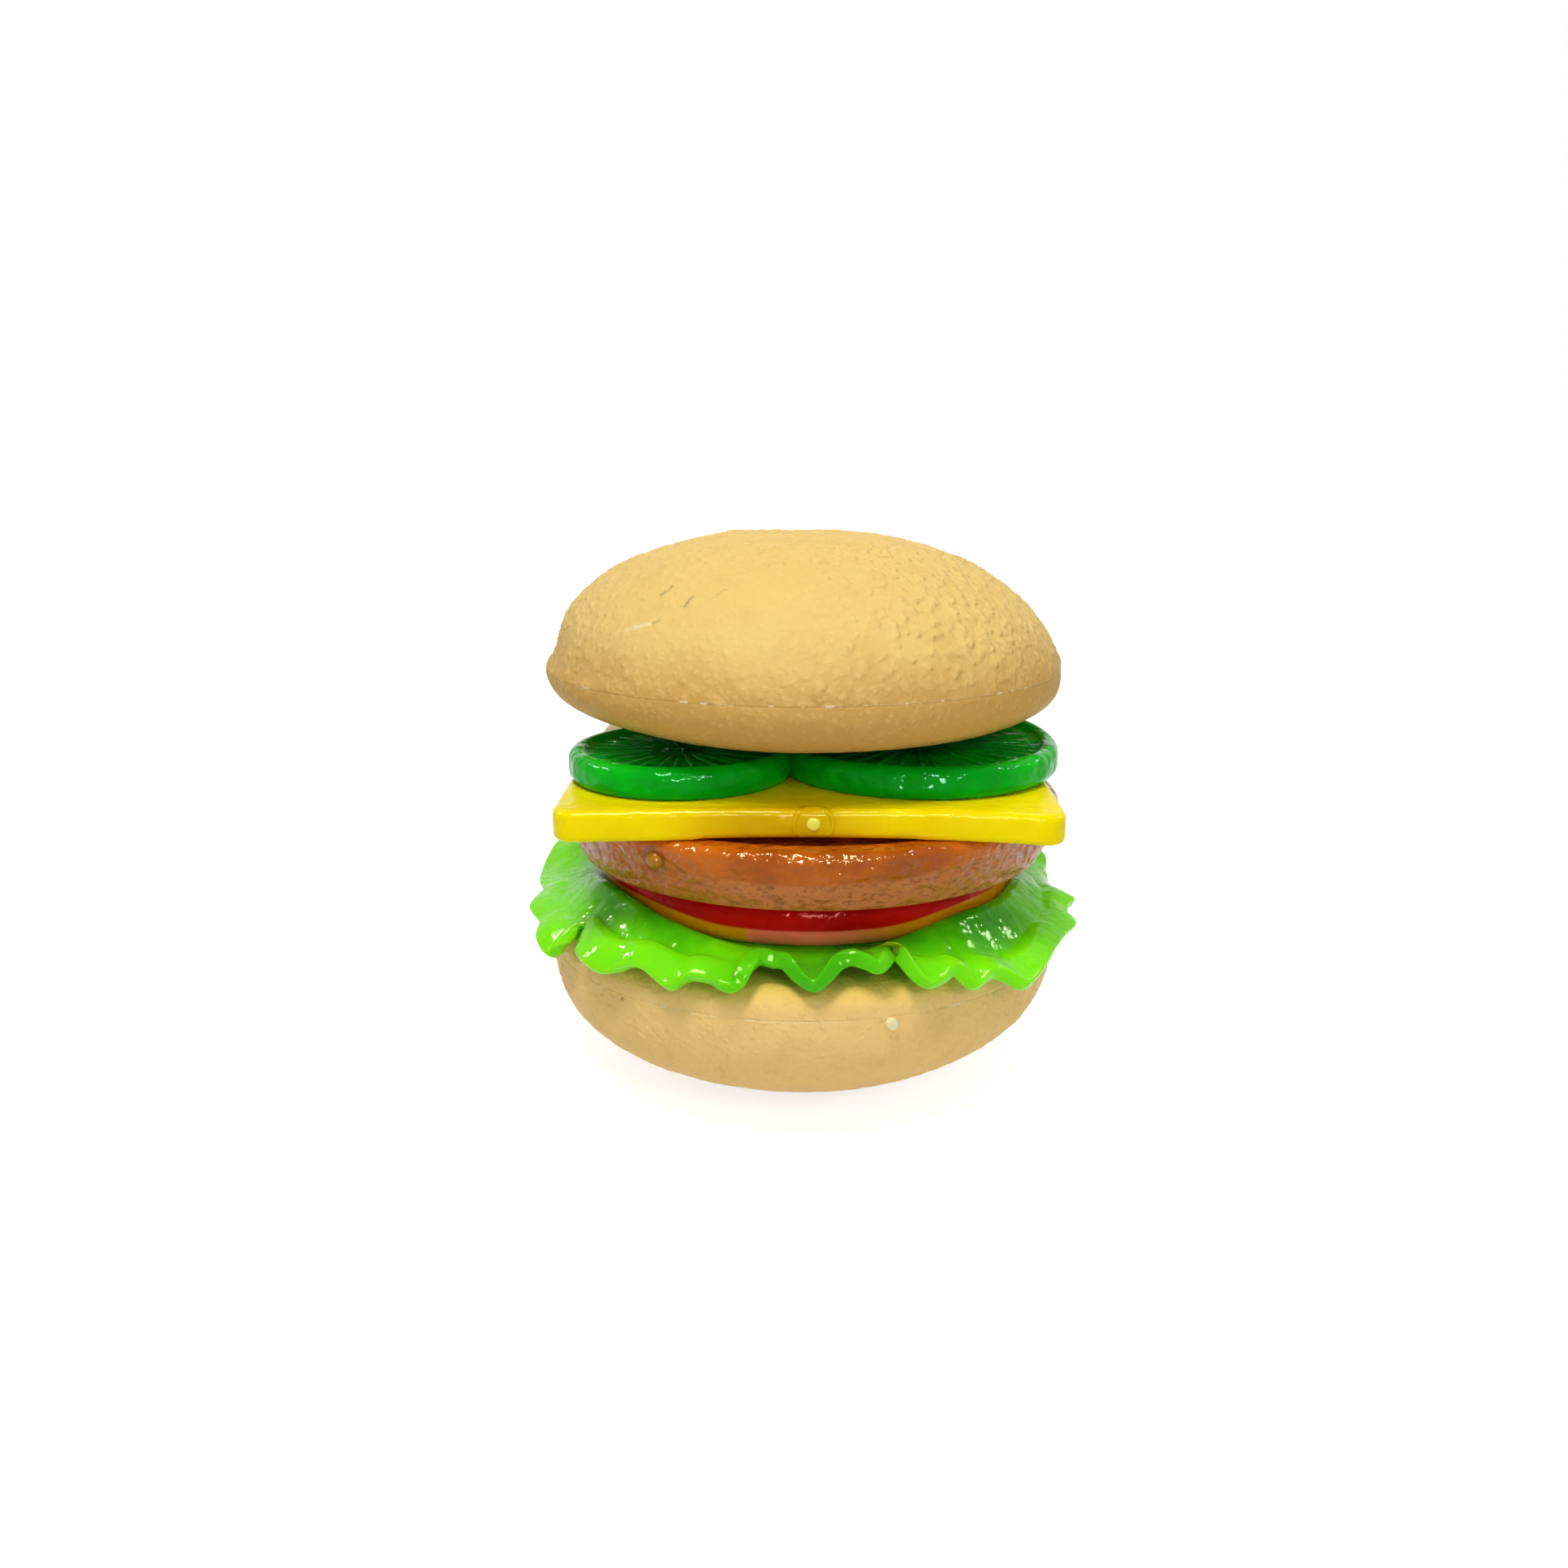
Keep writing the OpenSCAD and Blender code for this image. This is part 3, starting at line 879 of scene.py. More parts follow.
WALL = 2.0
SEAM_BEVEL = 0.07
LIP_H = 1.2
LIP_GAP = 0.2
LIP_CLEAR = 0.1
BOWL_FLAT_R = 13.4
BASE_FLAT_R = 19.5
UNDER_POWER = 2.9
CROWN_POWER = 1.62
CROWN_ROOT = 2.69
SHOULDER_R = 3.0
PEG_AT = 17.0
PEG_ANGLES = (30, 150, 270)
PEG_R = 2.0
SOCKET_WALL = 1.5
PEG_IN = 4.0
BUN_SPOKES = 560
SKIN_DEPTH = 0.6  # points nearer than this to the outline count as the outer skin

# how far the crown's sides lie inside its plain outline: the side's angle, the height
# above the seam, half the height that it covers, and the depth
CROWN_HOLLOWS = (
    (180, 2.8, 3.6, 1.1), (180, 12.3, 4.2, -0.8), (0, 15, 8, 1.4), (0, 4, 4, 0.2),
)
CROWN_SIDE = 42  # half the angle that a side covers
# the lump and the hollow behind the crown's top: x, half width and height of each
CROWN_LUMPS = ((-10.4, 2.3, 1.0), (-14.6, 2.6, -0.6))
CROWN_LUMPS_Y, CROWN_LUMPS_DEEP = 14.5, 6.5
# the crown's worn-down gate: x, height above the seam, half width and height
CROWN_GATE = (1.4, 2.1, 0.85, 0.55)
BASE_LEAN_LEFT, BASE_LEAN_RIGHT = 0.017, 0.018  # drop of the base's wall for each mm of x
BOWL_LEAN = 0.5
BOWL_GATE_ANGLE = -73

# scratches and specks: start and end as (x, z), width, colour and strength
DARK_CUT, PALE_RUB, SPECK = (0.34, 0.23, 0.09), (0.97, 0.86, 0.52), (0.22, 0.15, 0.06)
CROWN_MARKS = (
    ((-18.9, 73.9), (-17.4, 75.1), 0.20, DARK_CUT, 0.6),
    ((-15.6, 72.8), (-14.5, 74.0), 0.24, DARK_CUT, 0.8),
    ((-12.1, 74.0), (-10.3, 75.0), 0.16, DARK_CUT, 0.35),
    ((-19.6, 70.8), (-18.7, 71.1), 0.20, DARK_CUT, 0.55),
    ((-23.3, 69.7), (-21.6, 70.2), 0.26, PALE_RUB, 0.8),
    ((-21.2, 70.4), (-20.1, 70.6), 0.24, PALE_RUB, 0.7),
)
BOWL_MARKS = (((-24.8, 19.8), (-24.7, 20.0), 0.26, SPECK, 0.85),)


def under_curve(r, flat_r, depth, steps=60):
    """Wall below a seam, from the seam down to the edge of the flat."""
    t = np.linspace(0, 1, steps)
    return np.stack([flat_r + (r - flat_r) * (1 - t**UNDER_POWER), -depth * t], axis=1)


def crown_curve(r, rise, steps=90):
    """Crown above a seam, from the seam up to the top."""
    t = 1 - (1 - np.linspace(0, 1, steps)) ** 2.5
    return np.stack([r * (1 - t**CROWN_POWER) ** (1 / CROWN_ROOT), rise * t], axis=1)


def lower_section(r, flat_r, depth, step):
    """Closed section of a lower shell: flat, outer wall, lip and inner wall."""
    outer = resample(under_curve(r, flat_r, depth)[::-1], step)
    outer = outer[outer[:, 1] < -SEAM_BEVEL]
    inner = under_curve(r - WALL, flat_r - WALL / 2, depth - WALL, 14)
    flat = [(x, -depth) for x in np.linspace(0, flat_r, 14)[:-1]]
    seam = [(r, -SEAM_BEVEL), (r - SEAM_BEVEL * 0.5, -SEAM_BEVEL * 0.25), (r - SEAM_BEVEL, 0)]
    lip_r = r - WALL / 2 - LIP_CLEAR
    lip = [(lip_r, 0), (lip_r, LIP_H), (r - WALL, LIP_H)]
    return np.concatenate([flat, outer, seam, lip, inner, [(0, WALL - depth)]])


def upper_section(r, outer, inner, step):
    """Closed section of an upper shell: inner wall, rebate over the lip, outer wall."""
    rebate_z = LIP_H + LIP_GAP
    rebate_r = r - WALL / 2
    inside = inner[inner[:, 1] > rebate_z][::-1]
    skin = resample(outer, step)
    skin = skin[skin[:, 1] > SEAM_BEVEL]
    rebate = [(inside[-1][0], rebate_z), (rebate_r, rebate_z), (rebate_r, 0)]
    seam = [(r - SEAM_BEVEL, 0), (r - SEAM_BEVEL * 0.5, SEAM_BEVEL * 0.25), (r, SEAM_BEVEL)]
    return np.concatenate([[(0, inner[-1][1])], inside, rebate, seam, skin, [(0, outer[-1][1])]])


def lid_section(step):
    """The lid: a flat top with a rounded shoulder."""
    middle = (BUN_R - SHOULDER_R, LID_H - SHOULDER_R)
    shoulder = quarter(middle, SHOULDER_R, np.linspace(0, 90, 12))
    outer = np.array([(BUN_R, 0), *shoulder, (0.5, LID_H)])
    inner = np.array([(BUN_R - WALL, 0), (BUN_R - WALL, LID_H - WALL), (0.5, LID_H - WALL)])
    return upper_section(BUN_R, outer, resample(inner, 1.5), step)


def crown_section(step):
    """The crown: a dome of even wall."""
    inner = crown_curve(TOP_BUN_R - WALL, CROWN_H - WALL, 22)
    return upper_section(TOP_BUN_R, crown_curve(TOP_BUN_R, CROWN_H, 220), inner, step)


def crown_bent(rings):
    """The crown's uneven sides, its worn-down gate, and the lump and hollow behind its top."""
    x, y, z = xyz(rings)
    a, r = polar(rings)
    up = z - TOP_SEAM_Z
    inward = sum(
        deep * bump(turn_gap(a, angle), 0, CROWN_SIDE) * bump(up, height, half)
        for angle, height, half, deep in CROWN_HOLLOWS
    )
    gate_x, gate_up, gate_half, gate_out = CROWN_GATE
    gate = gate_out * bump(np.hypot(x - gate_x, up - gate_up), 0, gate_half) * (y < 0)
    inward = inward * smooth(up / 2) - gate
    scale = 1 - inward / np.maximum(r, 1.0)
    lumps = sum(height * bump(x, middle, half) for middle, half, height in CROWN_LUMPS)
    rise = lumps * bump(y, CROWN_LUMPS_Y, CROWN_LUMPS_DEEP) * smooth((up - 12) / 2)
    return np.stack([x * scale, y * scale, z + rise], axis=-1)


def base_bent(rings):
    """The base's wall is fuller on the right and hollower on the left."""
    x, y, z = xyz(rings)
    wall = smooth((np.hypot(x, y) - 21) / 9) * smooth((TOP_SEAM_Z - z) / 2.5)
    lean = np.where(x < 0, BASE_LEAN_LEFT, BASE_LEAN_RIGHT)
    return np.stack([x, y, z - wall * lean * x], axis=-1)


def bowl_bent(rings):
    """The bowl leans a little to the left below its middle."""
    x, y, z = xyz(rings)
    return np.stack([x - BOWL_LEAN * smooth((17 - z) / 9), y, z], axis=-1)


def lower_outside(rings, r, flat_r, depth, seam_z):
    """1 on a lower shell's outer wall, 0 on its lip and inside."""
    t = np.clip((seam_z - rings[..., 2]) / depth, 0, 1)
    skin_r = flat_r + (r - flat_r) * (1 - t**UNDER_POWER)
    return (polar(rings)[1] > skin_r - SKIN_DEPTH) & (rings[..., 2] < seam_z)


def bowl_skin(rings):
    """Grain of the bowl: it fades out at the seam and at the flat."""
    z = rings[..., 2]
    on = lower_outside(rings, BUN_R, BOWL_FLAT_R, BOWL_H, BOWL_H)
    return on * smooth((BOWL_H - z - 0.25) / 0.8) * smooth((z - 0.4) / 1.5)


def base_skin(rings):
    """Grain of the base: it fades out at the seam and at the underside."""
    z = rings[..., 2]
    on = lower_outside(rings, TOP_BUN_R, BASE_FLAT_R, BASE_H, TOP_SEAM_Z)
    return on * smooth((TOP_SEAM_Z - z - 0.25) / 0.6) * smooth((z - TOP_BUN_Z - 0.3) / 1.0)


def lid_skin(rings):
    """Grain of the lid: only its side, between the seam and the top."""
    z = rings[..., 2]
    return (polar(rings)[1] > BUN_R - 1.2) & (z > BOWL_H + 0.2) & (z < LID_TOP - 0.2)


def crown_skin(rings):
    """Grain of the crown: it fades out at the seam and is off inside the shell."""
    r, up = polar(rings)[1], rings[..., 2] - TOP_SEAM_Z
    t = np.clip(up / CROWN_H, 0, 1)
    skin_r = TOP_BUN_R * (1 - t**CROWN_POWER) ** (1 / CROWN_ROOT)
    curve = crown_curve(1.0, 1.0)[::-1]
    skin_up = CROWN_H * np.interp(r / TOP_BUN_R, curve[:, 0], curve[:, 1])
    on = (r > skin_r - SKIN_DEPTH) | (up > skin_up - SKIN_DEPTH)
    return on * smooth((up - 0.25) / 0.9)


def crown_pebbly(rings):
    """Pebbles are strongest on top and to the right, and faint at the front middle."""
    x, y, z = xyz(rings)
    up = (z - TOP_SEAM_Z) / CROWN_H
    front = smooth(-y / 16)
    calm = bump(x, -12, 17) * bump(up, 0.52, 0.34) * front
    low = smooth((0.45 - up) / 0.4) * front
    return np.clip(1.0 - 0.85 * calm - 0.35 * low, 0.08, 1)


def bowl_pebbly(rings):
    """The bowl is nearly smooth in front and pebbled at its sides and back."""
    return 0.95 - 0.75 * bump(turn_gap(polar(rings)[0], -90), 0, 48)


def nearly_smooth(rings):
    """The lid and the base have only a trace of pebbles."""
    return np.full(rings.shape[:2], 0.2)


def peg_places():
    """Where the pegs stand, seen from above."""
    return [(PEG_AT * math.cos(a), PEG_AT * math.sin(a)) for a in map(math.radians, PEG_ANGLES)]


def pegs(low_z, high_z):
    """The pegs of an upper shell, as round bars."""
    return [bar("peg", (x, y, low_z), (x, y, high_z), PEG_R) for x, y in peg_places()]


def sockets(low_z, top_z):
    """The tubes of a lower shell that the pegs are pressed into."""
    bore_r = PEG_R + LIP_CLEAR
    outer_r = bore_r + SOCKET_WALL
    floor_z = top_z - PEG_IN - 1
    section = [(0, low_z), (outer_r, low_z), (outer_r, top_z), (bore_r, top_z)]
    section += [(bore_r, floor_z), (0, floor_z)]
    return [moved(revolved("socket", section, 32), at) for at in peg_places()]


def gate_stub(wall_r, angle, z, radius, out, rounded=0.35):
    """A short broken stub that stands out of a wall."""
    x, y = math.cos(math.radians(angle)), math.sin(math.radians(angle))
    start, end = ((x * r, y * r, z) for r in (wall_r - 1, wall_r + out))
    return bar("gate", start, end, radius, rounded)


def with_gate(obj, stub, name, *look):
    """Joins a gate stub to its piece, in plain plastic of its own colour."""
    return joined(obj, set_material(stub, finish(name, *look)[0]))


class BURGER_OT_buns(bpy.types.Operator):
    """Build both hollow buns, each from its two shells"""

    bl_idname = "burger.buns"
    bl_label = "Buns"

    def execute(self, context):
        look = look_of(context, "bun")
        step = look.mesh_step / MM
        values = {
            "Pebble size": look.pebble_size,
            "Pebble height": look.pebble_height,
            "Dent size": look.dent_size,
            "Dent height": look.dent_height,
            "Fine size": 0.7 * MM,
            "Fine height": 0.05 * MM,
        }

        def shell(name, section, seam_z, material, weights, inside, bent=None, **changed):
            """One shell with its grain, what is inside it, and its finish."""
            changed = {key.replace("_", " "): value for key, value in changed.items()}
            skin, pebbly = weights
            section = section + np.array([0, seam_z])
            obj = revolved(name, section, BUN_SPOKES, {"skin": skin, "pebbly": pebbly}, bent)
            obj = baked(obj, grain_group(), {**values, "Material": material, **changed})
            for part in inside:
                set_material(part, material)
            return joined(obj, *inside)

        seam = (BOWL_H, (-6, 4), 0.7)
        bowl = shell(
            "bottom_bun_bowl_crust",
            lower_section(BUN_R, BOWL_FLAT_R, BOWL_H, step),
            BOWL_H,
            bun_material("bottom_crust", look, BOWL_MARKS, seam, look.low_color),
            (bowl_skin, bowl_pebbly),
            sockets(WALL, BOWL_H - 4),
            bowl_bent,
            Pebble_height=look.pebble_height * 0.8,
        )
        stub = gate_stub(BUN_R - 0.1, BOWL_GATE_ANGLE, BOWL_H - 0.9, 0.85, 0.8)
        bowl = with_gate(bowl, stub, "bun_gate", look.gate, look.roughness, look.shine)
        placed(bowl, "bottom_bun", "bottom_bun_bowl")

        lid = shell(
            "bottom_bun_lid_crust",
            lid_section(step * 1.3),
            BOWL_H,
            # painted light through the leaf on the lid's top
            bun_material("lid_crust", look, main=look.low_color, warm_z=BOWL_H + 0.5),
            (lid_skin, nearly_smooth),
            pegs(BOWL_H - 8, LID_TOP - WALL / 2),
            Dent_height=look.dent_height * 0.3,
        )
        placed(lid, "bottom_bun", "bottom_bun_lid")

        base = shell(
            "top_bun_base_crust",
            lower_section(TOP_BUN_R, BASE_FLAT_R, BASE_H, step),
            TOP_SEAM_Z,
            # painted shade: the whole base, the top bun's underside, is laid darker
            bun_material("bun_crust", look, low_z=TOP_SEAM_Z),
            (base_skin, nearly_smooth),
            sockets(TOP_BUN_Z + WALL / 2, TOP_SEAM_Z + 2),
            base_bent,
            Dent_height=look.dent_height * 0.6,
        )
        placed(base, "top_bun", "top_bun_base")

        seam = (TOP_SEAM_Z + 0.1, (4, 40), 0.15)
        crown = shell(
            "top_bun_crown_crust",
            crown_section(step),
            TOP_SEAM_Z,
            # painted shade on the crown's lower part, down to the seam
            bun_material("crown_crust", look, CROWN_MARKS, seam, low_z=TOP_SEAM_Z),
            (crown_skin, crown_pebbly),
            pegs(TOP_SEAM_Z - 2, CROWN_TOP - 4.2),
            crown_bent,
        )
        placed(crown, "top_bun", "top_bun_crown")
        return {"FINISHED"}


# ---- lettuce ---------------------------------------------------------------

# rim of the leaf going round: angle in degrees, reach from the middle, and height of
# the sheet's lower edge above the bottom bun, in millimetres
LEAF_RIM = (
    (0, 38.4, 1.0), (5, 39.0, 1.2), (11, 40.2, 0.9), (15.5, 41.4, 2.2), (22, 39.5, 3.3),
    (29, 42.6, 0.5), (36, 41.6, 2.3), (43, 42.8, 0.1), (50, 39.0, 3.1), (57, 42.4, 0.7),
    (65, 41.0, 2.5), (72, 42.8, 0.3), (79, 38.4, 3.3), (86, 42.5, 0.5), (93, 41.2, 2.3),
    (100, 42.6, 0.1), (107, 38.8, 3.1), (115, 42.2, 0.7), (122, 41.0, 2.3), (129, 42.9, 0.2),
    (137, 39.2, 3.3), (144, 42.6, 1.7), (151, 41.0, 3.7), (157, 42.1, 3.5), (163, 42.2, 3.6),
    (169, 41.8, 2.6), (175, 41.4, 1.5), (181, 40.8, 1.4), (187, 39.0, 1.9), (191, 40.6, 1.4),
    (196, 41.9, 1.0), (203, 41.2, 0.5), (209, 43.0, -0.3), (213, 42.6, -1.3),
    (214.6, 41.0, 0.5), (215.6, 38.2, 1.6), (217.3, 37.8, 1.8), (219.5, 39.8, 0.9),
    (222, 41.4, 0.5), (225.5, 42.2, 0.2), (229, 42.2, -0.3), (231.5, 41.2, -0.1),
    (234, 40.8, 0.8), (236.3, 40.3, 1.2), (238.7, 40.3, 0.9), (241.5, 40.8, 0.2),
    (245, 41.6, -0.2), (248, 40.4, 0.9), (251.5, 40.0, 0.9), (255, 40.8, 0.5),
    (257.3, 40.3, 0.7), (258.6, 38.6, 2.5), (260, 36.8, 3.1), (263, 36.4, 2.5),
    (266, 37.0, 2.4), (268.5, 38.6, 1.4), (271.4, 40.4, 0.9), (274, 39.3, 1.6),
    (276.3, 38.0, 2.6), (279, 37.6, 3.1), (281.6, 38.8, 3.0), (283.6, 39.9, 2.7),
    (285.8, 39.2, 3.3), (287.6, 37.6, 3.9), (289, 38.6, 3.1), (290.2, 40.6, 1.7),
    (292.6, 41.7, 0.5), (295.5, 41.7, 0.8), (298.3, 41.6, 1.5), (301.6, 42.5, -0.7),
    (305.6, 42.6, 0.3), (308, 43.2, -0.3), (311.5, 44.2, -1.9), (316, 43.8, -1.5),
    (320, 43.2, -0.9), (325.5, 42.4, -0.1), (333, 42.1, 0.2), (337.5, 42.5, 0.3),
    (341.2, 40.8, 0.9), (344, 40.7, 1.6), (347.2, 41.5, 1.5), (350.3, 38.6, 1.4),
    (355, 38.5, 1.3),
)
# height of the cup round the tomato, as a share of its full height
LEAF_CUP = (
    (0, 1.3), (45, 0.8), (90, 0.7), (135, 0.8), (180, 1.0), (199, 2.0), (212, 2.5),
    (236, 1.3), (250, 0.5), (262, 0.0), (275, 0.0), (288, 0.5), (300, 1.3), (310, 1.8),
    (325, 1.6), (340, 1.7),
)
LEAF_FOLD = 0.72  # where the fold behind the frill lies, as a share of the way from cup to rim
# how far the fold stands above the rim: everywhere, and more round some angles, each
# with half the angle it covers and its share of the ridge's height
LEAF_RAISED = 0.2
LEAF_RIDGES = ((228, 30, 0.8), (316, 30, 0.3), (350, 16, 0.25))
# the dish inside the fold: how far inside, half its width, and its depth
LEAF_DISH = (0.23, 0.14, 0.75)
LEAF_BEAD = 0.35  # how far the rounded rim reaches past the sheet's middle, in thicknesses
LEAF_CREST_SPAN = 62  # half the angle round the front where the crests are thicker
# middle of the painted shade on the leaf's front, in degrees
LEAF_SHADE_AT = -90
LEAF_SPOKES = 640
LEAF_BANDS = 46
LEAF_SEAT_RINGS = 25
LEAF_MEAN_SPAN = LEAF_SPOKES // 30
VEINS = 22
VEIN_FORK_R = 27
VEIN_CLEAR_R = 32.5  # the top face is smooth inside this radius, under the tomato
STANDING_VEINS = 12


def spread_mean(values, spokes):
    """Mean of a closed row of values over a window of that many spokes."""
    window = np.hanning(2 * spokes + 1)
    window /= window.sum()
    padded = np.concatenate([values[-spokes:], values, values[:spokes]])
    return np.convolve(padded, window, mode="valid")


def leaf_middle(look, angles, v):
    """Middle of the sheet at each angle and each share v from seat to rim.

    Also returns how near each angle is to a crest of the frill, from 0 to 1."""
    rim_at, rim_r, rim_z = np.array(LEAF_RIM).T
    thick = look.thickness / MM
    seat_r, seat_z = look.seat_radius / MM, TOMATO_LOW[2] - thick / 2
    reach = closed_spline(rim_at, rim_r, angles) - LEAF_BEAD * thick
    edge = closed_spline(rim_at, rim_z, angles) + LID_TOP + thick / 2
    mean_edge, mean_reach = (spread_mean(values, LEAF_MEAN_SPAN) for values in (edge, reach))
    cup = closed_spline(*np.array(LEAF_CUP).T, angles)
    v = v[:, None]
    crest = ((look.crest_radius / MM - seat_r) / (mean_reach - seat_r))[None, :]
    fall = np.clip((v - crest) / (1 - crest), 0, 1)
    level = seat_z + cup * look.cup / MM * smooth(v / crest) ** 1.7
    wave = edge - mean_edge
    rippled = level + (mean_edge - level) * fall**1.5 + wave * fall
    raised = LEAF_RAISED + sum(
        more * bump(turn_gap(angles, at), 0, span) for at, span, more in LEAF_RIDGES
    )
    high = mean_edge + look.ridge / MM * raised + 0.35 * wave
    turned = level + (high - level) * (1 - (1 - np.clip(fall / LEAF_FOLD, 0, 1)) ** 1.8)
    turned += (edge - high) * np.clip((fall - LEAF_FOLD) / (1 - LEAF_FOLD), 0, 1) ** 1.3
    inside, half_width, deep = LEAF_DISH
    turned -= deep * raised * bump(fall, LEAF_FOLD - inside, half_width)
    folded = np.clip(cup, 0, 1)
    z = turned * folded + rippled * (1 - folded)
    spread = fall ** (1.5 + 1.5 * folded)
    r = seat_r + (mean_reach * (1 - spread) + reach * spread - seat_r) * v
    a = np.radians(angles)
    return np.stack([r * np.cos(a), r * np.sin(a), z], axis=2), smooth(0.5 + wave / 2.4)


def sheet_normals(points):
    """Upward unit normals of a grid of points, closed the second way."""
    across = np.roll(points, -1, axis=1) - np.roll(points, 1, axis=1)
    along = np.gradient(points, axis=0)
    normal = np.cross(along, across)
    normal *= np.sign(normal[..., 2:3] + 1e-9)
    return normal / np.linalg.norm(normal, axis=2, keepdims=True)


def vein_relief(points):
    """Fine veins that fan out over the leaf and fork towards the rim, from 0 to 1.2."""
    a, r = polar(points)
    sway = 1.6 * np.sin(r * 0.45) + 0.9 * np.sin(r * 0.9 + 1)
    relief = np.zeros_like(r)
    for i in range(VEINS):
        middle = i * 360 / VEINS + 5 * math.sin(i * 2.4)
        fork_r = VEIN_FORK_R + i % 3
        gap = turn_gap(a, middle + sway * math.sin(i * 1.7))
        relief += bump(np.radians(gap) * r, 0, 0.28) * smooth((r - 6) / 8)
        for side in (-1, 1):
            fork = turn_gap(a, middle + side * np.clip(r - fork_r, 0, 20) * 0.55)
            relief += 0.7 * bump(np.radians(fork) * r, 0, 0.22) * smooth((r - fork_r) / 3)
    return np.clip(relief, 0, 1.2)


def standing_veins(points, half):
    """Depth of the ribs under the seat, which stand on the bun and fade out past the seat."""
    a, r = polar(points)
    depth = TOMATO_LOW[2] - 2 * half - LID_TOP
    ribs = np.zeros_like(r)
    for i in range(STANDING_VEINS):
        gap = np.radians(turn_gap(a, i * 360 / STANDING_VEINS)) * r
        ribs = np.maximum(ribs, smooth(1.6 - np.abs(gap)))
    return ribs * depth * smooth((31 - r) / 3) * smooth((r - 1) / 3)


def leaf_bead(middle, normal, half, lift):
    """Rings of the sheet's rounded rim, from its top face to its lower one."""
    rim, up = middle[-1], normal[-1]
    outward = rim - middle[-2]
    outward -= (outward * up).sum(axis=1, keepdims=True) * up
    outward /= np.linalg.norm(outward, axis=1, keepdims=True)
    extra = lift[:, None] / 2
    rings = []
    for t in np.radians([4, 12, 24, 38, 54, 72, 90, 108, 126, 142, 156, 168, 176]):
        rise = extra + (half + extra) * math.copysign(abs(math.cos(t)) ** 0.6, math.cos(t))
        rings.append(rim + rise * up + half * 0.75 * math.sin(t) ** 0.6 * outward)
    return np.array(rings)


class BURGER_OT_lettuce(bpy.types.Operator):
    """Build the ruffled leaf as one sheet with a rounded rim and veins"""

    bl_idname = "burger.lettuce"
    bl_label = "Lettuce"

    def execute(self, context):
        look = look_of(context, "lettuce")
        half = look.thickness / MM / 2
        seat_z = TOMATO_LOW[2] - half
        seat_at = np.array([*TOMATO_AT, 0])
        angles = np.linspace(0, 360, LEAF_SPOKES, endpoint=False)
        turn = np.radians(angles)
        bands = np.linspace(0, 1, LEAF_BANDS)
        frill, crest = leaf_middle(look, angles, bands)
        r = np.linspace(1.2, look.seat_radius / MM, LEAF_SEAT_RINGS + 1)[:-1, None]
        flat = np.full((LEAF_SEAT_RINGS, LEAF_SPOKES), seat_z)
        seat = np.stack([r * np.cos(turn), r * np.sin(turn), flat], axis=2)
        shares = np.append(np.zeros(LEAF_SEAT_RINGS), bands)
        middle = np.concatenate([seat, frill]) + seat_at * (1 - shares)[:, None, None]
        normal = sheet_normals(middle)
        veins = vein_relief(middle) * look.vein / MM * (1 - 0.6 * shares**3)[:, None]
        veins *= smooth((polar(middle)[1] - VEIN_CLEAR_R) / 2)
        crest = crest * bump(turn_gap(angles, -90), 0, LEAF_CREST_SPAN)
        lift = look.rim_lift / MM * crest * smooth((shares - 0.7) / 0.3)[:, None]
        top = middle + normal * (half + lift + veins)[..., None]
        low = middle - normal * half
        low[..., 2] -= standing_veins(middle, half)
        bead = leaf_bead(middle, normal, half, lift[-1])
        shares = np.concatenate([shares, np.ones(len(bead)), shares[::-1]])[:, None]
        # painted shade on the front middle: the bright frill colour is held back there and the
        # shade weight lays on the deep colour
        light = 1 - 0.9 * bump(turn_gap(angles, LEAF_SHADE_AT - 1), 0, 15)
        dark = bump(turn_gap(angles, LEAF_SHADE_AT + 1), 0, 17)
        obj = from_rings(
            "lettuce_ruffled_leaf",
            np.concatenate([low, bead[::-1], top[::-1]]),
            seat_at + (0, 0, seat_z - half),
            seat_at + (0, 0, seat_z + half),
            {"frill": smooth((shares - 0.35) / 0.6) * light, "shade": shares**0.5 * dark},
        )
        # painted light: the frill weight lays the bright colour on the rim
        material, tree, shader, _ = soft_material(
            "leaf_plastic", look, 70.0, 420.0, 0.3, "frill", 0.004, 1.5
        )
        shade = tree.times(tree.attribute("shade"), 0.85)
        tint_over(tree, shader, shade, look.deep)
        placed(set_material(obj, material), "lettuce", "lettuce_leaf")
        return {"FINISHED"}


# ---- tomato ----------------------------------------------------------------

TOMATO_SPOKES, TOMATO_MESH_STEP = 360, 0.6
TOMATO_ROUND = 2.5
CHAMBERS = 6
CHAMBER_DEPTH = 0.8
CHAMBER_R = (8.2, 25.2)  # where the chambers start and end
JELLY = 0.35  # how much of the seeds' colour shows in the chambers
# height of the band of painted reflection of the leaf round the lower edge in front, how far it
# drops towards the sides, and the distances to the side between which it drops
TOMATO_BAND_H, TOMATO_BAND_DROP, TOMATO_BAND_SIDES = 2.7, 1.4, (9, 24)
# the band's painted highlight in front: where it starts and is full on the left, and on the right
TOMATO_HIGHLIGHT_LEFT, TOMATO_HIGHLIGHT_RIGHT = (-8.5, -7), (14, 2)


def disc_section(r, low_z, high_z, round_r, step):
    """Outline of a disc's half section from axis to axis, with rounded edges."""
    lower = quarter((r - round_r, low_z + round_r), round_r, np.linspace(-90, 0, 14))
    upper = quarter((r - round_r, high_z - round_r), round_r, np.linspace(0, 90, 14))
    line = resample([(0, low_z), *lower, *upper, (0, high_z)], step)
    line[0, 0] = line[-1, 0] = 0
    return line


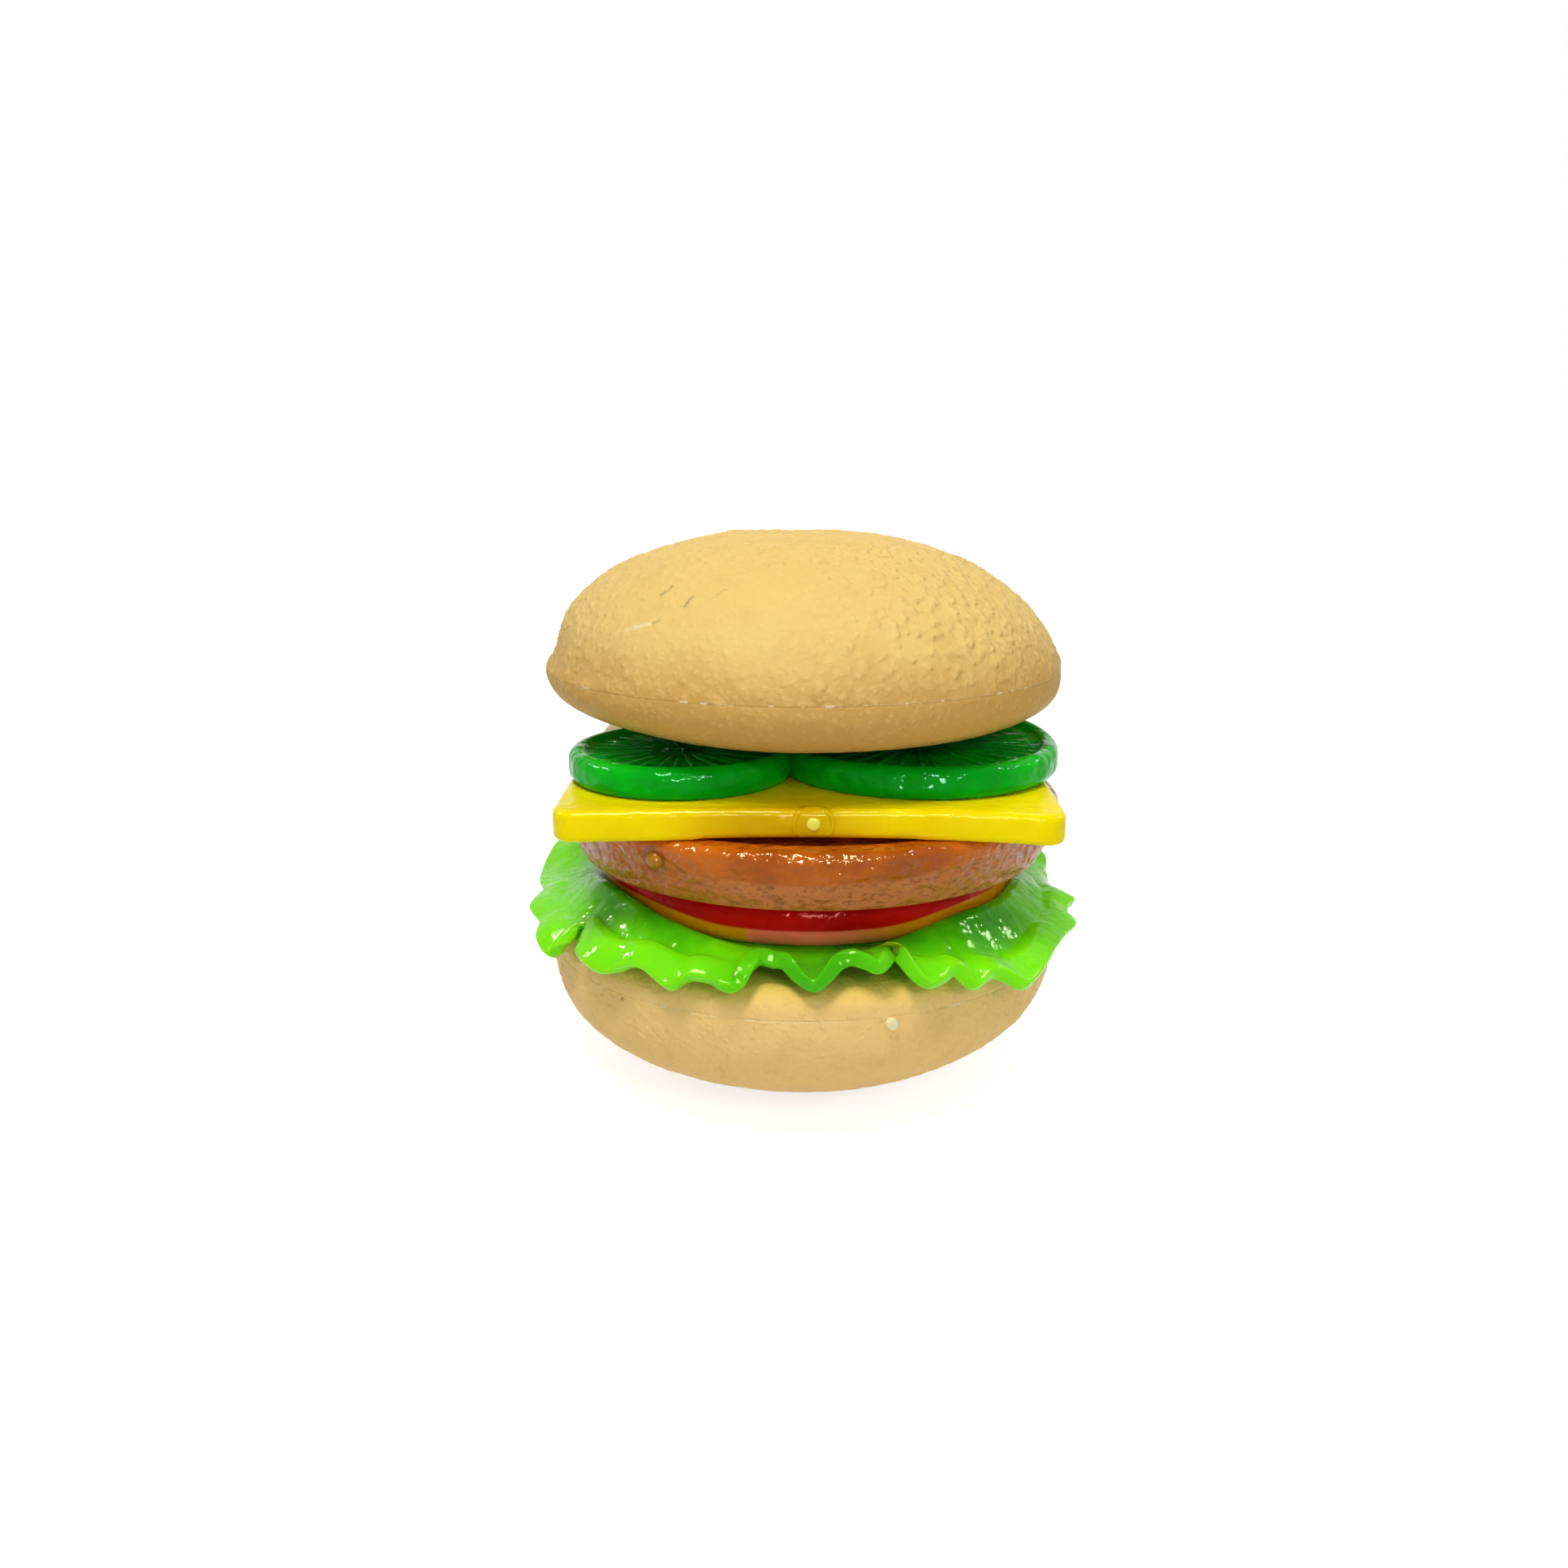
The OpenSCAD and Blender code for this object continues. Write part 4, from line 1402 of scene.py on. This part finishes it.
def chamber_depth(x, y):
    """0 to 1 inside the seed chambers of a slice."""
    a, r = np.degrees(np.arctan2(y, x)), np.hypot(x, y)
    depth = np.zeros_like(r)
    start_r, end_r = CHAMBER_R
    for i in range(CHAMBERS):
        wobble = 1 + 0.12 * math.sin(i * 2.3)
        gap = np.abs(np.radians(turn_gap(a, 90 + i * 360 / CHAMBERS)) * r)
        wide = (2.2 + (r - 9) * 0.36) * wobble
        along = smooth((r - start_r) / 1.4) * smooth((end_r * wobble**0.3 - r) / 1.6)
        depth = np.maximum(depth, smooth((wide - gap) / 1.1) * along)
    return depth


class BURGER_OT_tomato(bpy.types.Operator):
    """Build the tomato slice with its seed chambers"""

    bl_idname = "burger.tomato"
    bl_label = "Tomato"

    def execute(self, context):
        look = look_of(context, "tomato")
        low_z, high_z = TOMATO_LOW[2], TOMATO_HIGH[2]
        section = disc_section(TOMATO_R, low_z, high_z, TOMATO_ROUND, TOMATO_MESH_STEP)
        obj = revolved("tomato_slice_flesh", section, TOMATO_SPOKES)
        points = points_of(obj)
        depth = chamber_depth(points[:, 0], points[:, 1])
        upper = points[:, 2] > (low_z + high_z) / 2
        points[:, 2] += np.where(upper, -CHAMBER_DEPTH, CHAMBER_DEPTH) * depth
        set_points(obj, points)
        add_weight(obj, "jelly", depth * JELLY)
        moved(obj, TOMATO_AT)
        set_material(obj, self.material(look, low_z))
        placed(obj, "tomato", "tomato_slice")
        return {"FINISHED"}

    def material(self, look, low_z):
        """Red plastic with painted light round the lower edge: a brown painted reflection of the
        leaf, and a pink painted highlight in front.
        """
        material, tree, shader, place = soft_material(
            "tomato_plastic", look, 90.0, 500.0, 0.3, "jelly"
        )
        x, _, height = tree.parts(place)
        sides = (side * MM for side in TOMATO_BAND_SIDES)
        drop = tree.between(tree.math("ABSOLUTE", x), *sides, 0.0, TOMATO_BAND_DROP * MM)
        band_z = low_z + TOMATO_BAND_H
        height = tree.math("SUBTRACT", height, drop)
        band = tree.between(height, (band_z + 0.2) * MM, (band_z - 0.2) * MM)
        highlight = tree.times(
            tree.between(x, *(k * MM for k in TOMATO_HIGHLIGHT_LEFT)),
            tree.between(x, *(k * MM for k in TOMATO_HIGHLIGHT_RIGHT)),
        )
        low_color = tree.mix(highlight, look.band, look.band_highlight)
        tint_over(tree, shader, band, low_color)
        return material


# ---- patty -----------------------------------------------------------------

PATTY_SPOKES, PATTY_MESH_STEP = 520, 0.42
PATTY_RIM = 4.2
PATTY_RECESS = 0.9
PATTY_TAPER = 2.0
PATTY_STEP_Z = 4.3
PATTY_ROUND_LOW, PATTY_ROUND_HIGH = 1.0, 1.3
PATTY_PITS_RISE = 3.2  # how much further up the pits reach at both ends
PATTY_GATE_ANGLE, PATTY_GATE_UP = -125.2, 5.6
PATTY_GATE_WALL = 0.9  # how far the band at the gate's height lies inside the patty's width
PATTY_GATE_R, PATTY_RING_R = 1.3, (2.4, 1.7)  # the stub, and the clear ring round it
PATTY_BROWN_FROM, PATTY_BROWN_TO = -7, -17  # the lower band's grain turns brown to the left


def patty_section(step):
    """Half section of the patty: two bands on its side, a raised rim and a recess."""
    low_z, high_z = PATTY_LOW[2], PATTY_HIGH[2]
    low_r = PATTY_R - PATTY_TAPER
    step_z = low_z + PATTY_STEP_Z
    low_middle = (low_r - PATTY_ROUND_LOW, low_z + PATTY_ROUND_LOW)
    low = quarter(low_middle, PATTY_ROUND_LOW, np.linspace(-90, -10, 7))
    side = [(low_r + 0.75, low_z + 2.4), (low_r + 1.15, step_z - 0.4), (low_r + 1.1, step_z)]
    side += [(low_r + 1.45, step_z + 0.7)]
    high_middle = (PATTY_R - PATTY_ROUND_HIGH, high_z - PATTY_ROUND_HIGH)
    high = quarter(high_middle, PATTY_ROUND_HIGH, np.linspace(0, 80, 9))
    inner_r = PATTY_R - PATTY_RIM
    rim = [(inner_r + 0.5, high_z), (inner_r + 0.1, high_z - 0.3)]
    rim += [(inner_r - 0.5, high_z - PATTY_RECESS), (0, high_z - PATTY_RECESS)]
    line = resample([(0, low_z), *low, *side, *high, *rim], step)
    line[0, 0] = line[-1, 0] = 0
    return line


def patty_skin(rings):
    """Grain of the patty: strong on its side, weaker on its rim and off on its faces."""
    r, z = polar(rings)[1], rings[..., 2]
    side = smooth(r - PATTY_R + PATTY_TAPER + 1.6)
    clear_top = 0.25 + 0.75 * smooth((PATTY_HIGH[2] - z - 0.3) / 0.8)
    return side * clear_top * smooth((z - PATTY_LOW[2] - 0.1) / 0.5)


def patty_pitted(rings):
    """Pits cover the lower band and reach up it at both ends."""
    ends = 1 - bump(turn_gap(polar(rings)[0], -92), 0, 48)
    top = PATTY_LOW[2] + PATTY_STEP_Z + PATTY_PITS_RISE * ends
    return smooth((top - rings[..., 2]) / 0.7)


class BURGER_OT_patty(bpy.types.Operator):
    """Build the patty with its two bands, raised rim and gate stub"""

    bl_idname = "burger.patty"
    bl_label = "Patty"

    def execute(self, context):
        look = look_of(context, "patty")
        weights = {"skin": patty_skin, "pebbly": patty_pitted}
        obj = revolved("meat_patty_grain", patty_section(PATTY_MESH_STEP), PATTY_SPOKES, weights)
        values = {
            "Pebble size": look.pebble_size,
            "Pebble height": look.pebble_height,
            "Dent size": 6 * MM,
            "Dent height": 0.5 * MM,
            "Fine size": 1.3 * MM,
            "Fine height": 0.6 * MM,
            "Flatten": 1.7,
            "Material": self.material(look),
        }
        obj = baked(obj, grain_group(), values)
        gate_z = PATTY_LOW[2] + PATTY_GATE_UP
        gate_r = PATTY_R - PATTY_GATE_WALL
        stub = gate_stub(gate_r, PATTY_GATE_ANGLE, gate_z, PATTY_GATE_R, 1.3, 0.8)
        obj = with_gate(obj, stub, "patty_gate", look.gate, 0.06, 0.15)
        placed(moved(obj, PATTY_AT), "patty", "meat_patty")
        return {"FINISHED"}

    def material(self, look):
        """Glossy orange above, rough and pinkish where the skin is pitted."""
        material, tree, shader, place = soft_material("patty_plastic", look, 130.0, 760.0, 0.46)
        pitted = tree.attribute("pebbly")
        long = tree.vector("MULTIPLY", place, (1.0, 1.0, 2.0))
        grain = tree.between(tree.noise(long, 800.0, 3.0, 0.6, 0.5), 0.34, 0.52)
        x = tree.parts(place)[0]
        left = tree.between(x, PATTY_BROWN_FROM * MM, PATTY_BROWN_TO * MM, 0.0, 0.85)
        rough_color = tree.mix(grain, look.pit, tree.mix(left, look.bright, look.brown))
        color = tree.mix(pitted, color_of(shader), rough_color)
        a, gate_r = math.radians(PATTY_GATE_ANGLE), PATTY_R - PATTY_GATE_WALL
        gate = PATTY_AT + gate_r * np.array([math.cos(a), math.sin(a)])
        gate = Vector((*gate, PATTY_LOW[2] + PATTY_GATE_UP)) * MM
        gap = tree.vector("DISTANCE", place, tuple(gate))
        ring = tree.between(gap, *(r * MM for r in PATTY_RING_R), 0.0, 0.85)
        tree.link(tree.mix(ring, color, look.ring), shader, "Base Color")
        rough = tree.between(pitted, 0.0, 1.0, look.roughness, 0.22)
        tree.link(rough, shader, "Roughness")
        return material


# ---- cheese ----------------------------------------------------------------

CHEESE_CORNER = 3.2
CHEESE_ROUND = 0.9
CHEESE_GATE_X, CHEESE_GATE_UP, CHEESE_RING_R = 0.5, 2.35, 2.5
CHEESE_DROOP_R = 36.5  # past this radius, over the patty's edge, the slice droops
CHEESE_DROOP_LEFT, CHEESE_DROOP_RIGHT = 0.35, 0.95
CHEESE_BOW = 0.45  # how far the middle of the front edge bows up
# painted shade on the middle of the front edge: its x, half its width, and where it starts
CHEESE_SHADE_X, CHEESE_SHADE_HALF, CHEESE_SHADE_Y = -4, (17, 3), (-30, -32.5)


def square_ring(inset, z, side_steps=36, corner_steps=9):
    """Ring of a rounded square, drawn in from the cheese's outline by inset."""
    half = CHEESE_HALF - CHEESE_CORNER
    corner = max(CHEESE_CORNER - inset, 0.0)
    shrink = 1.0 if inset <= CHEESE_CORNER else (CHEESE_HALF - inset) / half

    def turned(angle):
        return np.array([math.cos(angle), math.sin(angle)])

    points = []
    for base in math.pi / 2 * np.arange(4):
        middle = turned(base + math.pi / 4) * half * math.sqrt(2)
        after = turned(base + 3 * math.pi / 4) * half * math.sqrt(2)
        for t in np.linspace(base, base + math.pi / 2, corner_steps):
            points.append((middle + corner * turned(t)) * shrink)
        end = turned(base + math.pi / 2) * corner
        for s in np.linspace(0, 1, side_steps + 1)[1:-1]:
            points.append((middle * (1 - s) + after * s + end) * shrink)
    return np.column_stack([points, np.full(len(points), z)])


def cheese_sag(points):
    """Corners droop past the patty's rim, and the front edge bows up a little."""
    x, y, z = xyz(points)
    r = np.hypot(x, y)
    lower = (CHEESE_HIGH[2] - z) / (CHEESE_HIGH[2] - CHEESE_LOW[2])
    past = np.clip((r - CHEESE_DROOP_R) / 10, 0, 1.2)
    droop = past**1.5 * np.where(x > 0, CHEESE_DROOP_RIGHT, CHEESE_DROOP_LEFT)
    bow = CHEESE_BOW * bump(x, -2, 17) * smooth(-y / 33) * (0.25 + 0.75 * lower)
    return np.stack([x, y, z - droop + bow * (r < CHEESE_DROOP_R - 0.1)], axis=-1)


class BURGER_OT_cheese(bpy.types.Operator):
    """Build the square cheese slice with rounded edges and its gate mark"""

    bl_idname = "burger.cheese"
    bl_label = "Cheese"

    def execute(self, context):
        look = look_of(context, "cheese")
        low_z, high_z = CHEESE_LOW[2], CHEESE_HIGH[2]
        gate_z = low_z + CHEESE_GATE_UP
        reaches = np.linspace(1, CHEESE_HALF - CHEESE_ROUND, 24)[:-1]
        edge_r = CHEESE_HALF - CHEESE_ROUND
        stations = [(r, low_z) for r in reaches]
        stations += quarter((edge_r, low_z + CHEESE_ROUND), CHEESE_ROUND, np.linspace(-90, 0, 8))
        stations += quarter((edge_r, high_z - CHEESE_ROUND), CHEESE_ROUND, np.linspace(0, 90, 8))
        stations += [(r, high_z) for r in reaches[::-1]]
        rings = cheese_sag(np.array([square_ring(CHEESE_HALF - r, z) for r, z in stations]))
        obj = from_rings("cheese_slice_body", rings, (0, 0, low_z), (0, 0, high_z))
        ring = (CHEESE_AT[0] + CHEESE_GATE_X, CHEESE_AT[1] - CHEESE_HALF, gate_z, CHEESE_RING_R)
        material, tree, shader, place = soft_material(
            "cheese_plastic", look, 60.0, 500.0, 0.15, ring=ring
        )
        # painted shade: the middle of the front edge is laid darker
        x, y, _ = tree.parts(place)
        off = tree.math("ABSOLUTE", tree.plus(x, -CHEESE_SHADE_X * MM))
        front = tree.between(y, *(k * MM for k in CHEESE_SHADE_Y), 0.0, 0.8)
        amount = tree.times(tree.between(off, *(k * MM for k in CHEESE_SHADE_HALF)), front)
        tint_over(tree, shader, amount, look.middle)
        set_material(obj, material)
        stub = moved(gate_stub(CHEESE_HALF - 0.2, -90, gate_z, 0.9, 0.45), (CHEESE_GATE_X, 0))
        obj = with_gate(obj, stub, "cheese_gate", look.bright, look.roughness, look.shine)
        placed(moved(obj, CHEESE_AT), "cheese", "cheese_slice")
        return {"FINISHED"}


# ---- cucumber --------------------------------------------------------------

LEFT_R, RIGHT_R = 16.0, 20.6
LEFT_AT = CUCUMBER_LOW[:2] + LEFT_R
RIGHT_AT = CUCUMBER_HIGH[:2] - RIGHT_R
CUCUMBER_SPOKES, CUCUMBER_MESH_STEP = 240, 0.5
CUCUMBER_ROUND = 1.5
CUCUMBER_RIM = 2.4
CUCUMBER_RECESS = 0.9
CUCUMBER_WARP_UP, CUCUMBER_WARP_IN = 1.1, 0.45
LEFT_RIBS = 0.85  # ribs of the smaller round, as a share of the larger one's


def round_section(r, step):
    """Half section of a round: flat underside, rounded side, rim and recess."""
    low_z, high_z = CUCUMBER_LOW[2], CUCUMBER_HIGH[2]
    inner, floor_z = r - CUCUMBER_RIM, high_z - CUCUMBER_RECESS
    line = disc_section(r, low_z, high_z, CUCUMBER_ROUND, step)
    line = [tuple(p) for p in line if p[1] <= high_z - 0.01 or p[0] >= inner + 0.5]
    line += [(inner + 0.25, high_z - 0.12), (inner, high_z - 0.45), (inner - 0.35, floor_z)]
    line += [(x, floor_z) for x in np.arange(inner - 1.2, 0.6, -0.8)]
    line.append((0, floor_z))
    line[0] = (0, low_z)
    return np.array(line)


class BURGER_OT_cucumber(bpy.types.Operator):
    """Build the two overlapping cucumber rounds with their radial ribs"""

    bl_idname = "burger.cucumber"
    bl_label = "Cucumber"

    def execute(self, context):
        look = look_of(context, "cucumber")
        material, *_ = soft_material("cucumber_plastic", look, 80.0, 420.0, 0.4)
        ribs = rib_tree()
        floor_z = CUCUMBER_HIGH[2] - CUCUMBER_RECESS
        rounds = []
        for name, at, r, count, seed in (
            ("cucumber_left", LEFT_AT, LEFT_R, int(look.ribs * LEFT_RIBS), 3),
            ("cucumber_rounds", RIGHT_AT, RIGHT_R, look.ribs, 8),
        ):
            section = round_section(r, CUCUMBER_MESH_STEP)
            obj = moved(revolved(name, section, CUCUMBER_SPOKES), at)
            values = {
                "Ribs": count,
                "Middle": (at[0] * MM, at[1] * MM, floor_z * MM),
                "Inner radius": 3.2 * MM,
                "Outer radius": (r - CUCUMBER_RIM) * MM,
                "Rib width": 0.45 * MM,
                "Rib height": 0.3 * MM,
                "Unevenness": 0.5,
                "Seed": seed,
                "Material": material,
            }
            rounds.append(set_material(baked(obj, ribs, values), material))
        left, right = rounds
        self.sink_under(left)
        piece = joined(right, left)
        self.warp(piece)
        placed(piece, "cucumber", "cucumber_slices")
        return {"FINISHED"}

    def warp(self, obj):
        """Bends the right round's far edge up and in a little, as the soft piece has warped."""
        points = points_of(obj)
        x, y = points[:, 0].copy(), points[:, 1]
        points[:, 2] += CUCUMBER_WARP_UP * smooth((y + 14) / 20) * smooth((x - 10) / 20)
        points[:, 0] -= CUCUMBER_WARP_IN * smooth((x - 20) / 16)
        set_points(obj, points)

    def sink_under(self, obj):
        """Lowers the left round's top face where the right round lies over it."""
        points = points_of(obj)
        inside = RIGHT_R - np.hypot(points[:, 0] - RIGHT_AT[0], points[:, 1] - RIGHT_AT[1])
        sunk_z = CUCUMBER_HIGH[2] - CUCUMBER_RECESS - 0.6
        cap = np.where(inside > 0.3, sunk_z, CUCUMBER_HIGH[2])
        points[:, 2] = np.minimum(points[:, 2], cap)
        set_points(obj, points)


# ---- stage -----------------------------------------------------------------

AIM = Vector((0, 0, 0.04))
FLOOR_HALF = 3.0
FLOOR_GREY, FLOOR_WHITE = 0.82, 0.74
WHITE = (1, 1, 1, 1)
# lamps: name, the setting it takes its power from, a factor, its size and its place;
# those whose power is the glint only show in gloss
LAMPS = (
    ("key_lamp", "key", 1.0, 0.11, (-0.07, -0.20, 0.41)),
    ("fill_lamp", "fill", 1.0, 0.05, (0.12, -0.34, 0.22)),
    ("back_lamp", "back", 1.0, 0.05, (0.14, 0.16, 0.38)),
    ("glint_lamp_high", "glint", 1.8, 0.16, (-0.07, -0.20, 0.41)),
    ("glint_lamp_right", "glint", 0.4, 0.06, (0.12, -0.34, 0.22)),
    ("glint_lamp_left", "glint", 0.33, 0.06, (-0.34, 0.03, 0.27)),
    ("glint_lamp_far_right", "glint", 0.16, 0.06, (0.34, 0.03, 0.27)),
    ("glint_lamp_low", "glint", 0.6, 0.08, (0.03, -0.46, 0.10)),
)


class BURGER_OT_stage(bpy.types.Operator):
    """Set up the camera, the floor and plain soft studio light"""

    bl_idname = "burger.stage"
    bl_label = "Stage"

    def execute(self, context):
        look = look_of(context, "stage")
        scene = context.scene
        camera = bpy.data.cameras.new("camera")
        camera.lens = look.lens
        camera.sensor_width = 36
        camera.clip_start = 0.01
        seat = bpy.data.objects.new("camera", camera)
        seat.location = look.camera_at
        seat.rotation_euler = (math.pi / 2 - look.camera_tilt, 0, 0)
        scene.collection.objects.link(seat)
        scene.camera = seat
        scene.view_settings.view_transform = "Standard"
        self.floor()
        self.sky(scene, look.sky)
        for name, source, factor, size, at in LAMPS:
            lamp = self.lamp(name, getattr(look, source) * factor, size, at)
            lamp.visible_diffuse = source != "glint"
            scene.collection.objects.link(lamp)
        return {"FINISHED"}

    def seen_rays(self, tree):
        """1 for rays that show the background: camera, glossy and transmission rays."""
        path = tree.add("ShaderNodeLightPath")
        seen = tree.math("MAXIMUM", path.outputs["Is Camera Ray"], path.outputs["Is Glossy Ray"])
        return tree.math("MAXIMUM", seen, path.outputs["Is Transmission Ray"])

    def white_for_camera(self, tree, lit, strength):
        """Adds a plain white for camera, glossy and transmission rays."""
        seen = self.seen_rays(tree)
        white = tree.add("ShaderNodeEmission", {"Color": WHITE, "Strength": strength})
        both = tree.add("ShaderNodeAddShader", {0: lit, 1: white.outputs[0]})
        return tree.add("ShaderNodeMixShader", {0: seen, 1: lit, 2: both.outputs[0]}).outputs[0]

    def floor(self):
        """A plain pale floor that looks white where nothing shades it."""
        mesh = bpy.data.meshes.new("floor")
        signs = ((-1, -1), (1, -1), (1, 1), (-1, 1))
        corners = [(x * FLOOR_HALF, y * FLOOR_HALF, 0) for x, y in signs]
        mesh.from_pydata(corners, [], [(0, 1, 2, 3)])
        floor = bpy.data.objects.new("floor", mesh)
        bpy.context.scene.collection.objects.link(floor)
        material = bpy.data.materials.new("floor_white")
        material.use_nodes = True
        nodes = material.node_tree.nodes
        nodes.clear()
        tree = Tree(material.node_tree)
        matte = tree.add("ShaderNodeBsdfDiffuse", {"Color": rgba([FLOOR_GREY] * 3)})
        seen = self.white_for_camera(tree, matte.outputs[0], FLOOR_WHITE)
        tree.add("ShaderNodeOutputMaterial", {"Surface": seen})
        mesh.materials.append(material)

    def sky(self, scene, strength):
        """Even light from all round, behind which the background is white."""
        world = bpy.data.worlds.new("studio")
        world.use_nodes = True
        scene.world = world
        nodes = world.node_tree.nodes
        nodes.clear()
        tree = Tree(world.node_tree)
        level = tree.between(self.seen_rays(tree), 0.0, 1.0, strength, 1.0)
        light = tree.add("ShaderNodeBackground", {"Color": WHITE, "Strength": level})
        tree.add("ShaderNodeOutputWorld", {"Surface": light.outputs[0]})

    def lamp(self, name, power, size, at):
        """A square lamp aimed at the middle of the toy, which the camera doesn't see."""
        light = bpy.data.lights.new(name, "AREA")
        light.energy = power
        light.size = size
        lamp = bpy.data.objects.new(name, light)
        lamp.location = at
        lamp.rotation_euler = (AIM - Vector(at)).to_track_quat("-Z", "Y").to_euler()
        lamp.visible_camera = False
        return lamp


class BURGER_PT_panel(bpy.types.Panel):
    """Lists the operators that build the toy"""

    bl_idname = "BURGER_PT_panel"
    bl_label = "Play-food hamburger"
    bl_space_type = "VIEW_3D"
    bl_region_type = "UI"
    bl_category = "Burger"

    def draw(self, context):
        for operator in OPERATORS:
            self.layout.operator(operator.bl_idname)


OPERATORS = (
    BURGER_OT_stage,
    BURGER_OT_buns,
    BURGER_OT_lettuce,
    BURGER_OT_tomato,
    BURGER_OT_patty,
    BURGER_OT_cheese,
    BURGER_OT_cucumber,
)
CLASSES = (
    BunLook, LettuceLook, TomatoLook, PattyLook, CheeseLook, CucumberLook, StageLook,
    BurgerSettings, *OPERATORS, BURGER_PT_panel,
)


def register():
    for cls in CLASSES:
        bpy.utils.register_class(cls)
    bpy.types.Scene.toy_burger = bpy.props.PointerProperty(type=BurgerSettings)


def unregister():
    del bpy.types.Scene.toy_burger
    for cls in reversed(CLASSES):
        bpy.utils.unregister_class(cls)


def main():
    register()
    for operator in OPERATORS:
        group, name = operator.bl_idname.split(".")
        getattr(getattr(bpy.ops, group), name)()
    bpy.context.view_layer.update()


if __name__ == "__main__":
    main()
